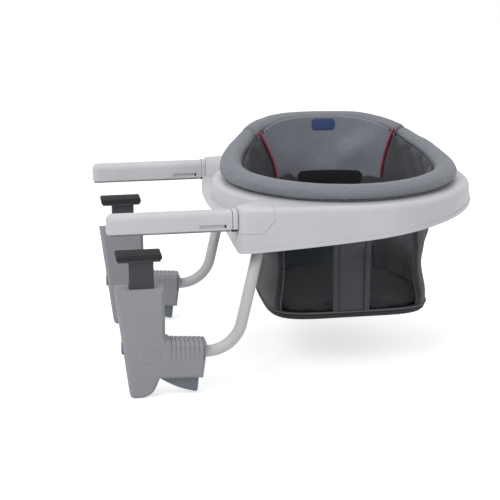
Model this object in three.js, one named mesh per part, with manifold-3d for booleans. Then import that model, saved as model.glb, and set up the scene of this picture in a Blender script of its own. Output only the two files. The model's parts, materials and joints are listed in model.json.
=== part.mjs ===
// Hook-on table chair, in millimetres with +Z up.
// x = 0 is the table's edge with the seat at +X, z = 0 is the table top, y = 0 is the chair's middle.
// The child faces -Y. Left is -Y and right +Y on the frame, but -X and +X on the seat.
import * as THREE from 'three';
import { mergeVertices } from 'three/addons/utils/BufferGeometryUtils.js';
import Module from 'manifold-3d';

const wasm = await Module();
wasm.setup();

// Clearances, and how far a cut reaches past a face
const gap = 0.3;
const overrun = 10;
const weld = 0.001;
const quarterTurn = Math.PI / 2;
const degree = Math.PI / 180;

// The table in use
const table = { thickness: 28 };

// The ring moulding that carries everything, built outwards from its round opening
const openingRadius = 162;
const deck = { width: 45, frontTaper: 15, frontTuck: 17, towerInset: 7, coverLap: 3 };
const sideHalf = openingRadius + deck.width;
const frame = {
  centreX: sideHalf - deck.frontTuck,
  frontX: 1,
  frontHalf: sideHalf - deck.frontTaper,
  sideHalf,
  cornerRadius: 14,
  flare: 4,
  deckTop: 34,
  creaseDrop: 9,
  shoulder: 12,
  wall: 3,
  openingRadius,
  collarDepth: 20,
  frontDepth: 67,
  backDepth: 33,
  hemHeight: 6,
  hemStep: 1.2,
  towerRadius: sideHalf - deck.towerInset,
  towerShoulder: 14,
  towerDrop: 8,
};
const armInset = 17;
const housing = { wallOffset: 15, blend: 10, blendHeight: 16 };
const armSpread = frame.frontHalf - armInset;
const housingInnerHalf = armSpread - housing.wallOffset;
const lip = {
  bottom: 1.8,
  thickness: 3.7,
  reach: 21.7,
  endReach: 4,
  halfWidth: housingInnerHalf,
  padWidth: 12,
  padInset: 1.5,
};
const lipSeatInset = 12;
const cover = {
  skin: 2.5,
  bottom: -3,
  length: 52.5,
  chamferLength: 17,
  chamferHeight: 19,
  innerRadius: frame.towerRadius - frame.towerShoulder + deck.coverLap,
};

// The upper arms, which lie on the table
const arm = {
  spread: armSpread,
  width: 28,
  top: 30,
  length: 188,
  collarLength: 7,
  collarStep: 1,
  cornerRadius: 9,
  tipRadius: 9,
  tubeRadius: 9,
  tubeWall: 1.5,
  tubeZ: 15.5,
  tubeInset: 8,
  tubeSocketEnd: 56,
};
const armSlot = { length: 39, height: 5, bottom: 6, depth: 3, endInset: 9, holeLength: 2, holeDepth: 4 };
const grip = { thickness: 3, toothDepth: 1.4, toothPitch: 4.4, toothTip: 2, width: 24, tipInset: 2 };
const collarPad = { length: 9.4, width: 28 };
const bracket = { front: 14, back: 80, bottom: -28, outerHalf: 11, roof: 27.9, chamfer: 8 };
const bracketScrew = { pitch: 11, radius: 4, height: 3, inset: 7 };

// The lower arms and their clamps
const leg = {
  radius: 8.75,
  wall: 1.5,
  lean: 13 * degree,
  socketX: 32.5,
  socketZ: -35,
  topZ: 1.5,
  bendRadius: 52.8,
  runZ: -184.6,
  runEnd: -92,
};
const clamp = {
  halfWidth: 19,
  wall: 2.5,
  edge: 5,
  columnTop: -80,
  columnTopBack: -180,
  columnFront: -107.5,
  toeBack: -161.5,
  toeZ: -240,
  toeBottom: -247,
  toeRound: 6,
  toeFlatEnd: -138,
  toeShoulderX: -125.5,
  toeShoulderZ: -239,
  shoulderRound: 7,
  heelX: -117,
  heelZ: -218.5,
  gripTopBack: -161.5,
  gripTop: -166,
  gripBottom: -221,
  gripFront: -45,
  gripFrontBottom: -52.5,
  gripRound: 6,
  fillet: 10,
  bossHalf: 13,
};
const ribs = { count: 8, first: -100, pitch: 6.8, width: 1.8, depth: 1.2, bottom: -192 };
const jack = {
  back: -158,
  front: -122,
  halfWidth: 11,
  bottom: -128,
  plateThickness: 3.3,
  plateBack: -174,
  plateFront: -112,
  plateHalf: 17,
  padThickness: 7,
  padOverhang: 2,
  padBevel: 1.5,
  rackBack: -150,
  rackFront: -139,
  rackHalf: 4,
  rackBottom: -201,
  rackPitch: 4,
  rackDepth: 1.5,
  guideDepth: 28,
};
const trigger = {
  pivotX: -112,
  pivotZ: -209,
  halfWidth: 10,
  pinRadius: 2,
  hubTop: 8,
  hubBack: 8,
  hubFront: 6,
  topFront: -58,
  topFrontZ: -218,
  toeX: -61,
  toeZ: -244.5,
  toeRound: 4,
  bellyX: -81.5,
  bellyZ: -238.7,
  shinX: -96.5,
  shinZ: -232.2,
  bellyRound: 7,
  heelX: -116,
  heelZ: -220.5,
};
const triggerSpring = { radius: 4.6, length: 4.8 };
const button = { z: -173, halfHeight: 8, halfWidth: 6, proud: 2.2, flange: 2, flangeLap: 2 };

// The turning ring that carries the seat
const carrier = {
  runningGap: 1.5,
  skirtThickness: 5.5,
  skirtBottom: 12.8,
  innerLap: 4.5,
  flangeLap: 16,
  flangeThickness: 4.2,
  retainerThickness: 4,
  retainerLap: 10,
  rimLap: 1.5,
  rimWrap: 8,
};
const skirtOuter = frame.openingRadius - carrier.runningGap;
const skirtInner = skirtOuter - carrier.skirtThickness;
const carrierBore = skirtInner - carrier.innerLap;
const flangeRadius = frame.openingRadius + carrier.flangeLap;
const retainerRadius = frame.openingRadius + carrier.retainerLap;
const glide = { inset: 4, width: 8, thickness: 1.7 };
const retainerScrew = { count: 8, radius: 1.3, headRadius: 2.7, headHeight: 2.2, length: 12 };
const lock = {
  notchWidth: 12.6,
  notchDepth: 6.5,
  halfWidth: 5.7,
  thickness: 3.4,
  backGap: 5.4,
  travel: 6,
  tabLength: 8,
  tabBottom: -8,
};
const lockGuide = { offset: 3.4, halfWidth: 10, foot: 6 };

// The padded rim and the hanging seat. Angles run from the seat's back, +Y, towards +X.
const rim = {
  innerRadius: carrierBore - carrier.rimLap,
  outerRadius: flangeRadius + carrier.rimWrap,
  bulge: 3.5,
  base: 34.6,
  skirtWidth: 5,
  crownLow: 56,
  rise: 46,
  crownHeight: 14,
  innerLift: 2,
  headAngle: 49.3 * degree,
  headLift: 6,
  headSwell: 1.4,
};
const rimRiseShares = [1, 1, 0.98, 0.92, 0.8, 0.65, 0.5, 0.36, 0.22, 0.1, 0.03, 0];
const rimRiseStep = 10 * degree;
const hang = { clearance: 0.4, taper: 22 };
const pan = {
  halfWidth: rim.innerRadius - hang.clearance - hang.taper,
  top: -152,
  bottom: -165,
  backPower: 2,
  frontPower: 5,
  edgeRound: 12,
  rimWidth: 4,
  recess: 6.7,
  boardThickness: 4.8,
  cushionEdge: 3,
  cushionCrown: 6,
  cushionSpanShare: 0.9,
};
const wallCloth = {
  radius: rim.innerRadius - hang.clearance,
  thickness: 3,
  drape: 0.8,
  topDrop: 5,
  funnelTop: -36,
  funnelBottom: -96,
  pinchShare: 0.045,
  pinchZ: -92,
  pinchReach: 30,
  legAngle: 133.5 * degree,
  legDrift: 2.5 * degree,
  legTop: -12,
};
const piping = {
  radius: 1.5,
  lift: 3.4,
  topAngle: 50 * degree,
  lowAngle: 37 * degree,
  drift: 6 * degree,
  driftZ: 20,
  lowZ: 5,
  topZ: 91,
  topInset: 9,
  bottomInset: 5,
};
const binding = { width: 9.5, proud: 0.7 };
const crotch = { shift: -4.5, topHalf: 29.5, bottomHalf: 28.5, thickness: 3.2, settleZ: -62 };
const label = { centreAngle: 3 * degree, width: 39, height: 19, centreZ: 90, thickness: 1 };
const belt = { centreAngle: 7.5 * degree, halfAngle: 22.5 * degree, bottom: -28, top: 12.5, thickness: 4 };
const beltStrap = { lapAngle: 10 * degree, outerAngle: 60 * degree, bottom: -22, top: 2.5, thickness: 1.8 };
const crotchStrap = { halfWidth: 15, thickness: 1.8, top: -70 };
const buckle = {
  halfWidth: 22,
  height: 40,
  depth: 10,
  round: 4,
  buttonHalf: 9,
  buttonHeight: 16,
  travel: 2,
  wall: 2,
};

// Colours, roughness and metalness of what shows
function finish(color, roughness, metalness = 0) {
  return new THREE.MeshStandardMaterial({ color, roughness, metalness });
}
const material = {
  shell: finish(0xd5d5d7, 0.5),
  sleeve: finish(0xdadadd, 0.45),
  clamp: finish(0x929396, 0.55),
  trigger: finish(0x636b70, 0.55),
  inner: finish(0x3a3c40, 0.6),
  steel: finish(0xb6b7ba, 0.35, 1),
  paintedTube: finish(0xc9c9cd, 0.4),
  rubber: finish(0x1c1d1f, 0.85),
  gripRubber: finish(0xb4b4b6, 0.8),
  leatherette: finish(0x70747b, 0.6),
  sideCloth: finish(0x3b3d40, 0.8),
  bucketCloth: finish(0x35373a, 0.9),
  bindingTape: finish(0x55585c, 0.85),
  pipingTape: finish(0xa8455a, 0.6),
  patch: finish(0x4a5f8c, 0.6),
  webbing: finish(0x17181a, 0.9),
  buckle: finish(0x2a2b2d, 0.45),
};

const chair = new THREE.Group();

function vec(x, y, z) {
  return new THREE.Vector3(x, y, z);
}

// A point on the seat at an angle from its back, a radius and a height
function around(angle, radius, z) {
  return vec(frame.centreX + radius * Math.sin(angle), radius * Math.cos(angle), z);
}

function range(count) {
  return Array.from({ length: count + 1 }, (_, i) => i / count);
}

function spread(from, to, count) {
  return range(count).map((t) => THREE.MathUtils.lerp(from, to, t));
}

// Turns a geometry's faces outwards if they point in
function faceOut(geometry) {
  const { position } = geometry.attributes;
  const index = geometry.index.array;
  const [a, b, c] = [new THREE.Vector3(), new THREE.Vector3(), new THREE.Vector3()];
  let volume = 0;
  for (let i = 0; i < index.length; i += 3) {
    a.fromBufferAttribute(position, index[i]);
    b.fromBufferAttribute(position, index[i + 1]);
    c.fromBufferAttribute(position, index[i + 2]);
    volume += a.dot(b.cross(c));
  }
  if (volume < 0) {
    for (let i = 0; i < index.length; i += 3) {
      [index[i], index[i + 1]] = [index[i + 1], index[i]];
    }
  }
  return geometry;
}

// A geometry whose faces share their corner points
function bare(geometry) {
  const copy = geometry.clone();
  for (const name of Object.keys(copy.attributes)) {
    if (name !== 'position') copy.deleteAttribute(name);
  }
  return faceOut(mergeVertices(copy));
}

function solid(geometry) {
  const { attributes, index } = bare(geometry);
  return new wasm.Manifold(new wasm.Mesh({
    numProp: 3,
    vertProperties: new Float32Array(attributes.position.array),
    triVerts: new Uint32Array(index.array),
  }));
}

function shapeOf(body) {
  const { numProp, vertProperties, triVerts } = body.getMesh();
  const positions = [];
  for (let i = 0; i < vertProperties.length; i += numProp) {
    positions.push(...vertProperties.subarray(i, i + 3));
  }
  const geometry = new THREE.BufferGeometry();
  geometry.setAttribute('position', new THREE.Float32BufferAttribute(positions, 3));
  geometry.setIndex(Array.from(triVerts));
  return welded(geometry);
}

// A geometry without the hair-thin faces that cuts can leave at a corner
function welded(geometry) {
  const joined = mergeVertices(geometry, weld);
  const index = joined.index.array;
  const kept = [];
  for (let i = 0; i < index.length; i += 3) {
    const [a, b, c] = index.subarray(i, i + 3);
    if (a !== b && b !== c && c !== a) kept.push(a, b, c);
  }
  joined.setIndex(kept);
  return joined;
}

function cut(body, ...tools) {
  return tools.reduce((rest, tool) => rest.subtract(tool), body);
}

function join(...bodies) {
  return bodies.reduce((all, body) => all.add(body));
}

function put(name, shape, finishOf, parent = chair) {
  const geometry = shape.isBufferGeometry ? bare(shape) : shapeOf(shape);
  geometry.computeVertexNormals();
  const mesh = new THREE.Mesh(geometry, finishOf);
  mesh.name = name;
  parent.add(mesh);
}

// The flat end of a loft, in the ring's own order
function endFaces(ring) {
  const next = (i) => ring[(i + 1) % ring.length];
  const normal = ring.reduce((sum, p, i) => sum.add(p.clone().cross(next(i))), vec(0, 0, 0));
  const u = ring[1].clone().sub(ring[0]).normalize();
  const v = normal.normalize().clone().cross(u);
  const contour = ring.map((p) => new THREE.Vector2(p.dot(u), p.dot(v)));
  const turn = Math.sign(THREE.ShapeUtils.area(contour));
  return THREE.ShapeUtils.triangulateShape(contour, []).map((face) => {
    const side = Math.sign(THREE.ShapeUtils.area(face.map((i) => contour[i])));
    return side === turn ? face : [face[0], face[2], face[1]];
  });
}

// The end of a sheet, whose ring runs up one face and down the other
function sheetEnd(ring) {
  const last = ring.length - 1;
  const rungs = Array.from({ length: (last - 1) / 2 }, (_, i) => i);
  return rungs.flatMap((i) => [[i, i + 1, last - 1 - i], [i, last - 1 - i, last - i]]);
}

// A closed body through rings of equally many points
function loft(rings, end = endFaces) {
  const count = rings[0].length;
  const positions = rings.flat().flatMap((p) => [p.x, p.y, p.z]);
  const index = [];
  for (let i = 0; i < rings.length - 1; i += 1) {
    const here = i * count;
    const next = here + count;
    for (let j = 0; j < count; j += 1) {
      const k = (j + 1) % count;
      index.push(here + j, here + k, next + k, here + j, next + k, next + j);
    }
  }
  const last = (rings.length - 1) * count;
  for (const [a, b, c] of end(rings[0])) index.push(a, c, b);
  for (const [a, b, c] of end(rings[rings.length - 1])) index.push(last + a, last + b, last + c);
  const geometry = new THREE.BufferGeometry();
  geometry.setAttribute('position', new THREE.Float32BufferAttribute(positions, 3));
  geometry.setIndex(index);
  return faceOut(geometry);
}

function box(x0, x1, y0, y1, z0, z1) {
  const geometry = new THREE.BoxGeometry(x1 - x0, y1 - y0, z1 - z0);
  return geometry.translate((x0 + x1) / 2, (y0 + y1) / 2, (z0 + z1) / 2);
}

// A turned body about the seat's axis or another upright axis, from a closed or axis-to-axis profile
function turned(profile, segments, x = frame.centreX, y = 0) {
  const points = profile.map(([radius, z]) => new THREE.Vector2(radius, z));
  return new THREE.LatheGeometry(points, segments).rotateX(quarterTurn).translate(x, y, 0);
}

function disc(radius, z0, z1, segments = 64, x = frame.centreX, y = 0) {
  return turned([[0, z0], [radius, z0], [radius, z1], [0, z1]], segments, x, y);
}

function ringBody(inner, outer, z0, z1, segments) {
  return turned([[inner, z0], [outer, z0], [outer, z1], [inner, z1], [inner, z0]], segments);
}

function rodX(radius, x0, x1, y, z, segments = 20) {
  return new THREE.CylinderGeometry(radius, radius, x1 - x0, segments)
    .rotateZ(quarterTurn).translate((x0 + x1) / 2, y, z);
}

function rodY(radius, y0, y1, x, z, segments = 16) {
  return new THREE.CylinderGeometry(radius, radius, y1 - y0, segments).translate(x, (y0 + y1) / 2, z);
}

// A plate whose outline is drawn in x and z, cut from y0 to y1
function slabXZ(outline, y0, y1, bevel = 0) {
  const shape = new THREE.Shape(outline.map(([x, z]) => new THREE.Vector2(x, z)));
  const settings = {
    depth: y1 - y0 - 2 * bevel,
    bevelEnabled: bevel > 0,
    bevelThickness: bevel,
    bevelSize: bevel,
    bevelOffset: -bevel,
    bevelSegments: 1,
  };
  return new THREE.ExtrudeGeometry(shape, settings).rotateX(quarterTurn).translate(0, y1 - bevel, 0);
}

// A plate whose outline is drawn in x and y, cut from z0 to z1
function slabXY(outline, z0, z1) {
  const shape = new THREE.Shape(outline.map(([x, y]) => new THREE.Vector2(x, y)));
  const settings = { depth: z1 - z0, bevelEnabled: false };
  return new THREE.ExtrudeGeometry(shape, settings).translate(0, 0, z0);
}

// Half width of the frame's plan at a distance from the table
function sideAt(x) {
  const share = 1 - x / frame.centreX;
  return frame.frontHalf + (frame.sideHalf - frame.frontHalf) * (1 - share * share);
}

// The frame's plan outline, drawn in from its outer face
function framePlan(inset, frontInset) {
  const radius = Math.max(frame.cornerRadius - Math.max(inset, frontInset), frame.hemStep);
  const cornerX = frame.frontX + frontInset + radius;
  const cornerY = sideAt(cornerX) - inset - radius;
  const corner = range(3).map((t) => {
    const angle = t * quarterTurn;
    return [cornerX - radius * Math.cos(angle), -cornerY - radius * Math.sin(angle)];
  });
  const side = spread(cornerX, frame.centreX, 4).slice(1).map((x) => [x, inset - sideAt(x)]);
  const back = spread(-quarterTurn, quarterTurn, 28).slice(1, -1).map((angle) => {
    const reach = frame.sideHalf - inset;
    return [frame.centreX + reach * Math.cos(angle), reach * Math.sin(angle)];
  });
  const half = [...corner, ...side];
  const mirrored = half.map(([x, y]) => [x, -y]).reverse();
  return [...half, ...back, ...mirrored];
}

// The frame's outer form, or the same form drawn in by an offset
function frameForm(offset, frontOffset = offset) {
  const crease = frame.deckTop - frame.creaseDrop - offset / 2;
  const top = frame.deckTop - offset;
  const foot = frame.deckTop - frame.frontDepth - frame.wall;
  const levels = [[foot, offset - frame.flare], [crease, offset]];
  for (const t of range(3).slice(1)) {
    const angle = t * quarterTurn;
    levels.push([crease + (top - crease) * Math.sin(angle), offset + frame.shoulder * (1 - Math.cos(angle))]);
  }
  const rings = levels.map(([z, inset]) => framePlan(inset, frontOffset).map(([x, y]) => vec(x, y, z)));
  return solid(loft(rings));
}

// The upright round wall behind the lip, filled to the axis
function towerForm(offset, z0) {
  const radius = frame.towerRadius - offset;
  const top = frame.deckTop - offset;
  const crease = frame.deckTop - frame.towerDrop - offset / 2;
  const profile = [[0, z0], [radius, z0], [radius, crease]];
  for (const t of range(3).slice(1)) {
    const angle = t * quarterTurn;
    profile.push([
      radius - frame.towerShoulder * (1 - Math.cos(angle)),
      crease + (top - crease) * Math.sin(angle),
    ]);
  }
  profile.push([0, top]);
  return solid(turned(profile, 72));
}

const housingAngle = Math.atan2(housingInnerHalf, frame.centreX - frame.frontX);
const lipTop = lip.bottom + lip.thickness;

// The space between the two arm housings, from z0 up
function betweenHousings(offset, z0, rounded = true) {
  const reach = 2 * frame.sideHalf;
  const blendStart = frame.deckTop - housing.blendHeight - offset;
  const levels = [[z0, 0]];
  if (rounded) {
    for (const t of range(3)) {
      levels.push([blendStart + housing.blendHeight * t, housing.blend * (1 - Math.sqrt(1 - t * t))]);
    }
    levels.push([frame.deckTop + overrun, housing.blend]);
  } else {
    levels.push([frame.deckTop + overrun, 0]);
  }
  const rings = levels.map(([z, shift]) => {
    const apex = frame.centreX + (shift + offset) / Math.sin(housingAngle);
    const farX = apex - reach * Math.cos(housingAngle);
    const farY = reach * Math.sin(housingAngle);
    return [vec(apex, 0, z), vec(farX, farY, z), vec(farX, -farY, z)];
  });
  return solid(loft(rings));
}

// The corner that a cover takes up, grown by a clearance
function coverZone(side, grow) {
  const x1 = frame.frontX + cover.length + grow;
  const z0 = cover.bottom - grow;
  const outline = [
    [-overrun, z0],
    [x1 - cover.chamferLength, z0],
    [x1, z0 + cover.chamferHeight],
    [x1, frame.deckTop + overrun],
    [-overrun, frame.deckTop + overrun],
  ];
  const far = frame.sideHalf + overrun;
  const near = housingInnerHalf / 2;
  const zone = solid(side < 0 ? slabXZ(outline, -far, -near) : slabXZ(outline, near, far));
  return cut(
    zone,
    solid(disc(cover.innerRadius - grow, z0 - overrun, frame.deckTop + 2 * overrun)),
    betweenHousings(-grow, z0 - overrun, false),
  );
}

// Everything below the frame's sloping bottom edge, raised by a height
function belowHem(rise) {
  const x0 = -frame.sideHalf;
  const x1 = frame.centreX + 2 * frame.sideHalf;
  const slope = (frame.frontDepth - frame.backDepth) / (frame.centreX + frame.sideHalf);
  const edge = (x) => frame.deckTop - frame.frontDepth + slope * x + rise;
  const floor = frame.deckTop - 2 * frame.frontDepth;
  const far = 2 * frame.sideHalf;
  return solid(slabXZ([[x0, floor], [x1, floor], [x1, edge(x1)], [x0, edge(x0)]], -far, far));
}

const subWall = cover.skin + gap + frame.wall;
const outerForm = cut(frameForm(0, 0), betweenHousings(0, lipTop));
const coverZones = [-1, 1].map((side) => ({
  side,
  fit: coverZone(side, 0),
  clear: coverZone(side, gap),
  backed: coverZone(side, gap + frame.wall),
}));

function insetForm(offset) {
  return cut(frameForm(offset), betweenHousings(offset, lipTop - offset));
}

function lipOutline(inset) {
  const halfWidth = lip.halfWidth - inset;
  const front = spread(-1, 1, 16).map((t) => {
    const reach = lip.reach - (lip.reach - lip.endReach) * t * t;
    return [inset - reach, t * halfWidth];
  });
  const root = frame.frontX + frame.wall;
  return [...front, [root, halfWidth], [root, -halfWidth]];
}

function armBore(side) {
  const reach = frame.frontX + subWall + overrun;
  return solid(rodX(arm.tubeRadius + gap, -overrun, reach, side * arm.spread, arm.tubeZ));
}

function makeFrame() {
  const rebates = coverZones.map(({ clear }) => cut(clear, insetForm(cover.skin + gap)));
  const lipPlate = solid(slabXY(lipOutline(0), lip.bottom, lipTop));
  const tower = towerForm(0, lip.bottom);
  const outer = cut(join(outerForm, tower, lipPlate), ...rebates);

  const backing = coverZones.map(({ backed }) => cut(backed, frameForm(subWall)));
  const lipCeiling = cut(
    betweenHousings(frame.wall, lipTop - frame.wall),
    solid(disc(frame.towerRadius - frame.wall, -frame.frontDepth, 2 * frame.frontDepth)),
  );
  const collarBottom = frame.deckTop - frame.collarDepth;
  const collar = solid(disc(frame.openingRadius + frame.wall, collarBottom, frame.deckTop + overrun));
  const towerHollow = towerForm(frame.wall, lipTop);
  const hollow = cut(join(cut(frameForm(frame.wall), lipCeiling), towerHollow), ...backing, collar);

  const hem = cut(
    frameForm(-frame.hemStep, 0).intersect(belowHem(frame.hemHeight)),
    frameForm(frame.wall),
  );
  const opening = solid(disc(frame.openingRadius, -2 * frame.frontDepth, frame.deckTop + overrun));
  const body = cut(join(cut(outer, hollow), hem), opening, belowHem(0), armBore(-1), armBore(1));
  put('frame_body', body, material.shell);

  for (const { side, fit } of coverZones) {
    const skin = cut(outerForm.intersect(fit), insetForm(cover.skin), armBore(side));
    put(`corner_cover_${sideName(side)}`, skin, material.shell);
  }
}

function sideName(side) {
  return side < 0 ? 'left' : 'right';
}

// The rubber strip under the lip, seated on the table
function makeLipPad() {
  const outer = lipOutline(lip.padInset);
  const inner = lipOutline(lip.padInset + lip.padWidth);
  const band = cut(
    solid(slabXY(outer, 0, lip.bottom - gap)),
    solid(slabXY(
      [...inner.slice(0, -2), [overrun, arm.spread], [overrun, -arm.spread]], -overrun, overrun,
    )),
    solid(box(0, overrun, -arm.spread, arm.spread, -overrun, overrun)),
  );
  put('lip_pad', band, material.rubber);
}

// An arm's section at one place along it, drawn in all round except below
function armRing(x, y, inset, bottom) {
  const half = arm.width / 2 - inset;
  const top = arm.top - inset;
  const radius = Math.max(arm.cornerRadius - Math.max(inset, 0), arm.collarStep);
  const arc = range(4).map((t) => {
    const angle = t * quarterTurn;
    return [half - radius * (1 - Math.cos(angle)), top - radius * (1 - Math.sin(angle))];
  });
  return [
    vec(x, y - half, bottom),
    vec(x, y + half, bottom),
    ...arc.map(([dy, z]) => vec(x, y + dy, z)),
    ...arc.reverse().map(([dy, z]) => vec(x, y - dy, z)),
  ];
}

function makeArm(side) {
  const y = side * arm.spread;
  const name = sideName(side);
  const bottom = grip.thickness + gap;
  const collarEnd = frame.frontX - gap;
  const sleeveEnd = collarEnd - arm.collarLength - gap;
  const bore = solid(rodX(arm.tubeRadius + gap, arm.tubeInset - arm.length - gap, overrun, y, arm.tubeZ));

  const tipRings = spread(quarterTurn, 0, 4).map((a) => {
    const x = -arm.length + arm.tipRadius * (1 - Math.sin(a));
    return armRing(x, y, arm.tipRadius * (1 - Math.cos(a)), bottom);
  });
  const sleeve = solid(loft([...tipRings, armRing(sleeveEnd, y, 0, bottom)]));
  const slotEnd = sleeveEnd - armSlot.endInset;
  const slots = [-1, 1].flatMap((face) => {
    const skin = y + face * arm.width / 2;
    const [y0, y1] = [skin - armSlot.depth, skin + armSlot.depth];
    const [h0, h1] = [skin - armSlot.holeDepth, skin + armSlot.holeDepth];
    const z1 = armSlot.bottom + armSlot.height;
    return [
      solid(box(slotEnd - armSlot.length, slotEnd, y0, y1, armSlot.bottom, z1)),
      solid(box(slotEnd - armSlot.holeLength, slotEnd, h0, h1, armSlot.bottom, z1)),
    ];
  });
  put(`arm_sleeve_${name}`, cut(sleeve, bore, ...slots), material.sleeve);

  const step = arm.collarStep;
  const collarRings = [
    [collarEnd - arm.collarLength, 0],
    [collarEnd - arm.collarLength + step, -step],
    [collarEnd - step, -step],
    [collarEnd, 0],
  ].map(([x, inset]) => armRing(x, y, inset, bottom));
  put(`arm_collar_${name}`, cut(solid(loft(collarRings)), bore), material.shell);

  const padBack = collarEnd - collarPad.length;
  const half = collarPad.width / 2;
  put(`collar_pad_${name}`, box(padBack, collarEnd, y - half, y + half, 0, grip.thickness), material.rubber);
  makeGrip(name, y, padBack - gap);

  const tube = turned([
    [arm.tubeRadius - arm.tubeWall, arm.tubeInset - arm.length],
    [arm.tubeRadius, arm.tubeInset - arm.length],
    [arm.tubeRadius, arm.tubeSocketEnd],
    [arm.tubeRadius - arm.tubeWall, arm.tubeSocketEnd],
    [arm.tubeRadius - arm.tubeWall, arm.tubeInset - arm.length],
  ], 16, 0, 0).rotateY(quarterTurn).translate(0, y, arm.tubeZ);
  put(`arm_tube_${name}`, tube, material.steel);
}

// The toothed strip that bites the table top
function makeGrip(name, y, end) {
  const start = grip.tipInset - arm.length;
  const count = Math.floor((end - start) / grip.toothPitch);
  const outline = [[end, grip.thickness], [start, grip.thickness]];
  for (let i = 0; i < count; i += 1) {
    const x = start + i * grip.toothPitch;
    const notchX = x + (grip.toothTip + grip.toothPitch) / 2;
    outline.push([x, 0], [x + grip.toothTip, 0], [notchX, grip.toothDepth]);
  }
  outline.push([start + count * grip.toothPitch, 0], [end, 0]);
  put(`arm_grip_${name}`, slabXZ(outline, y - grip.width / 2, y + grip.width / 2), material.gripRubber);
}

// A point on a lower arm's straight upper run, by its height
function legAxisX(z) {
  return leg.socketX + Math.tan(leg.lean) * (z - leg.socketZ);
}

const legBendEndZ = leg.runZ + leg.bendRadius * (1 - Math.sin(leg.lean));
const legBendStartX = legAxisX(legBendEndZ) - leg.bendRadius * Math.cos(leg.lean);

// The lower arm's centre line: along the clamp, round the bend and up to the frame
class LegPath extends THREE.Curve {
  constructor(y, bendSteps) {
    super();
    const bend = spread(0, quarterTurn - leg.lean, bendSteps).map((a) => vec(
      legBendStartX + leg.bendRadius * Math.sin(a), y, leg.runZ + leg.bendRadius * (1 - Math.cos(a)),
    ));
    this.points = [vec(leg.runEnd, y, leg.runZ), ...bend, vec(legAxisX(leg.topZ), y, leg.topZ)];
  }

  getPoint(t, target = new THREE.Vector3()) {
    const place = t * (this.points.length - 1);
    const i = Math.min(Math.floor(place), this.points.length - 2);
    return target.lerpVectors(this.points[i], this.points[i + 1], place - i);
  }

  getPointAt(u, target) {
    return this.getPoint(u, target);
  }

  getTangentAt(u, target = new THREE.Vector3()) {
    const place = Math.round(u * (this.points.length - 1));
    const before = this.points[Math.max(place - 1, 0)];
    const after = this.points[Math.min(place + 1, this.points.length - 1)];
    return target.subVectors(after, before).normalize();
  }
}

function circlePoints(radius, sides) {
  return spread(0, 4 * quarterTurn, sides).slice(1)
    .map((a) => new THREE.Vector2(radius * Math.cos(a), radius * Math.sin(a)));
}

function sweep(radius, bore, path, steps, sides) {
  const shape = new THREE.Shape(circlePoints(radius, sides));
  if (bore > 0) shape.holes.push(new THREE.Path(circlePoints(bore, sides).reverse()));
  return new THREE.ExtrudeGeometry(shape, { steps, extrudePath: path, curveSegments: sides });
}

function makeBracket(side) {
  const y = side * arm.spread;
  const half = bracket.outerHalf;
  const { roof, chamfer } = bracket;
  const section = [
    [-half, bracket.bottom],
    [half, bracket.bottom],
    [half, roof - chamfer],
    [half - chamfer, roof],
    [chamfer - half, roof],
    [-half, roof - chamfer],
  ];
  const rings = [bracket.front, bracket.back].map((x) => section.map(([dy, z]) => vec(x, y + dy, z)));
  const socketTop = leg.topZ + gap;
  const depth = socketTop - bracket.bottom + overrun;
  const socket = new THREE.CylinderGeometry(leg.radius + gap, leg.radius + gap, depth, 16)
    .rotateX(quarterTurn)
    .translate(0, 0, -depth / 2)
    .rotateY(leg.lean)
    .translate(legAxisX(socketTop), y, socketTop);
  const bore = rodX(arm.tubeRadius + gap, bracket.front - overrun, arm.tubeSocketEnd + gap, y, arm.tubeZ);
  const heads = [0, bracketScrew.pitch].map((back) => {
    const x = bracket.back - bracketScrew.inset - back;
    return solid(disc(bracketScrew.radius, bracket.bottom - bracketScrew.height, bracket.front, 10, x, y));
  });
  const body = cut(join(solid(loft(rings)), ...heads), solid(socket), solid(bore));
  put(`arm_bracket_${sideName(side)}`, body, material.inner);
}

// The column's back face by height
function columnBack(z) {
  return THREE.MathUtils.mapLinear(z, clamp.columnTop, clamp.toeZ, clamp.columnTopBack, clamp.toeBack);
}

// An outline in which each corner that has a reach of its own becomes a short curve
function softened(corners) {
  return corners.flatMap(([x, z, reach], i) => {
    if (!reach) return [[x, z]];
    const corner = new THREE.Vector2(x, z);
    const [before, after] = [corners.length - 1, 1].map((step) => {
      const [nextX, nextZ] = corners[(i + step) % corners.length];
      return new THREE.Vector2(nextX - x, nextZ - z).setLength(reach).add(corner);
    });
    const curve = new THREE.QuadraticBezierCurve(before, corner, after);
    return curve.getPoints(2).map((point) => [point.x, point.y]);
  });
}

// The clamp's side view
function clampOutline() {
  return softened([
    [clamp.columnTopBack, clamp.columnTop],
    [columnBack(clamp.toeBottom), clamp.toeBottom, clamp.toeRound],
    [clamp.toeFlatEnd, clamp.toeBottom, clamp.toeRound],
    [clamp.toeShoulderX, clamp.toeShoulderZ, clamp.shoulderRound],
    [clamp.heelX, clamp.heelZ],
    [clamp.gripFrontBottom, clamp.gripBottom],
    [clamp.gripFront, clamp.gripTop, clamp.gripRound],
    [clamp.columnFront, clamp.gripTopBack, clamp.fillet],
    [clamp.columnFront, clamp.columnTop],
  ]);
}

// An outline drawn in by a wall, corner by corner
function drawnIn(outline, wall) {
  return outline.map(([x, z], i) => {
    const [px, pz] = outline[(i + outline.length - 1) % outline.length];
    const [nx, nz] = outline[(i + 1) % outline.length];
    const before = new THREE.Vector2(x - px, z - pz).normalize();
    const after = new THREE.Vector2(nx - x, nz - z).normalize();
    const inward = new THREE.Vector2(-before.y - after.y, before.x + after.x);
    inward.multiplyScalar(wall / (1 + before.dot(after)));
    return [x + inward.x, z + inward.y];
  });
}

const plateTop = -table.thickness - jack.padThickness - gap;
const plateBottom = plateTop - jack.plateThickness;

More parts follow.
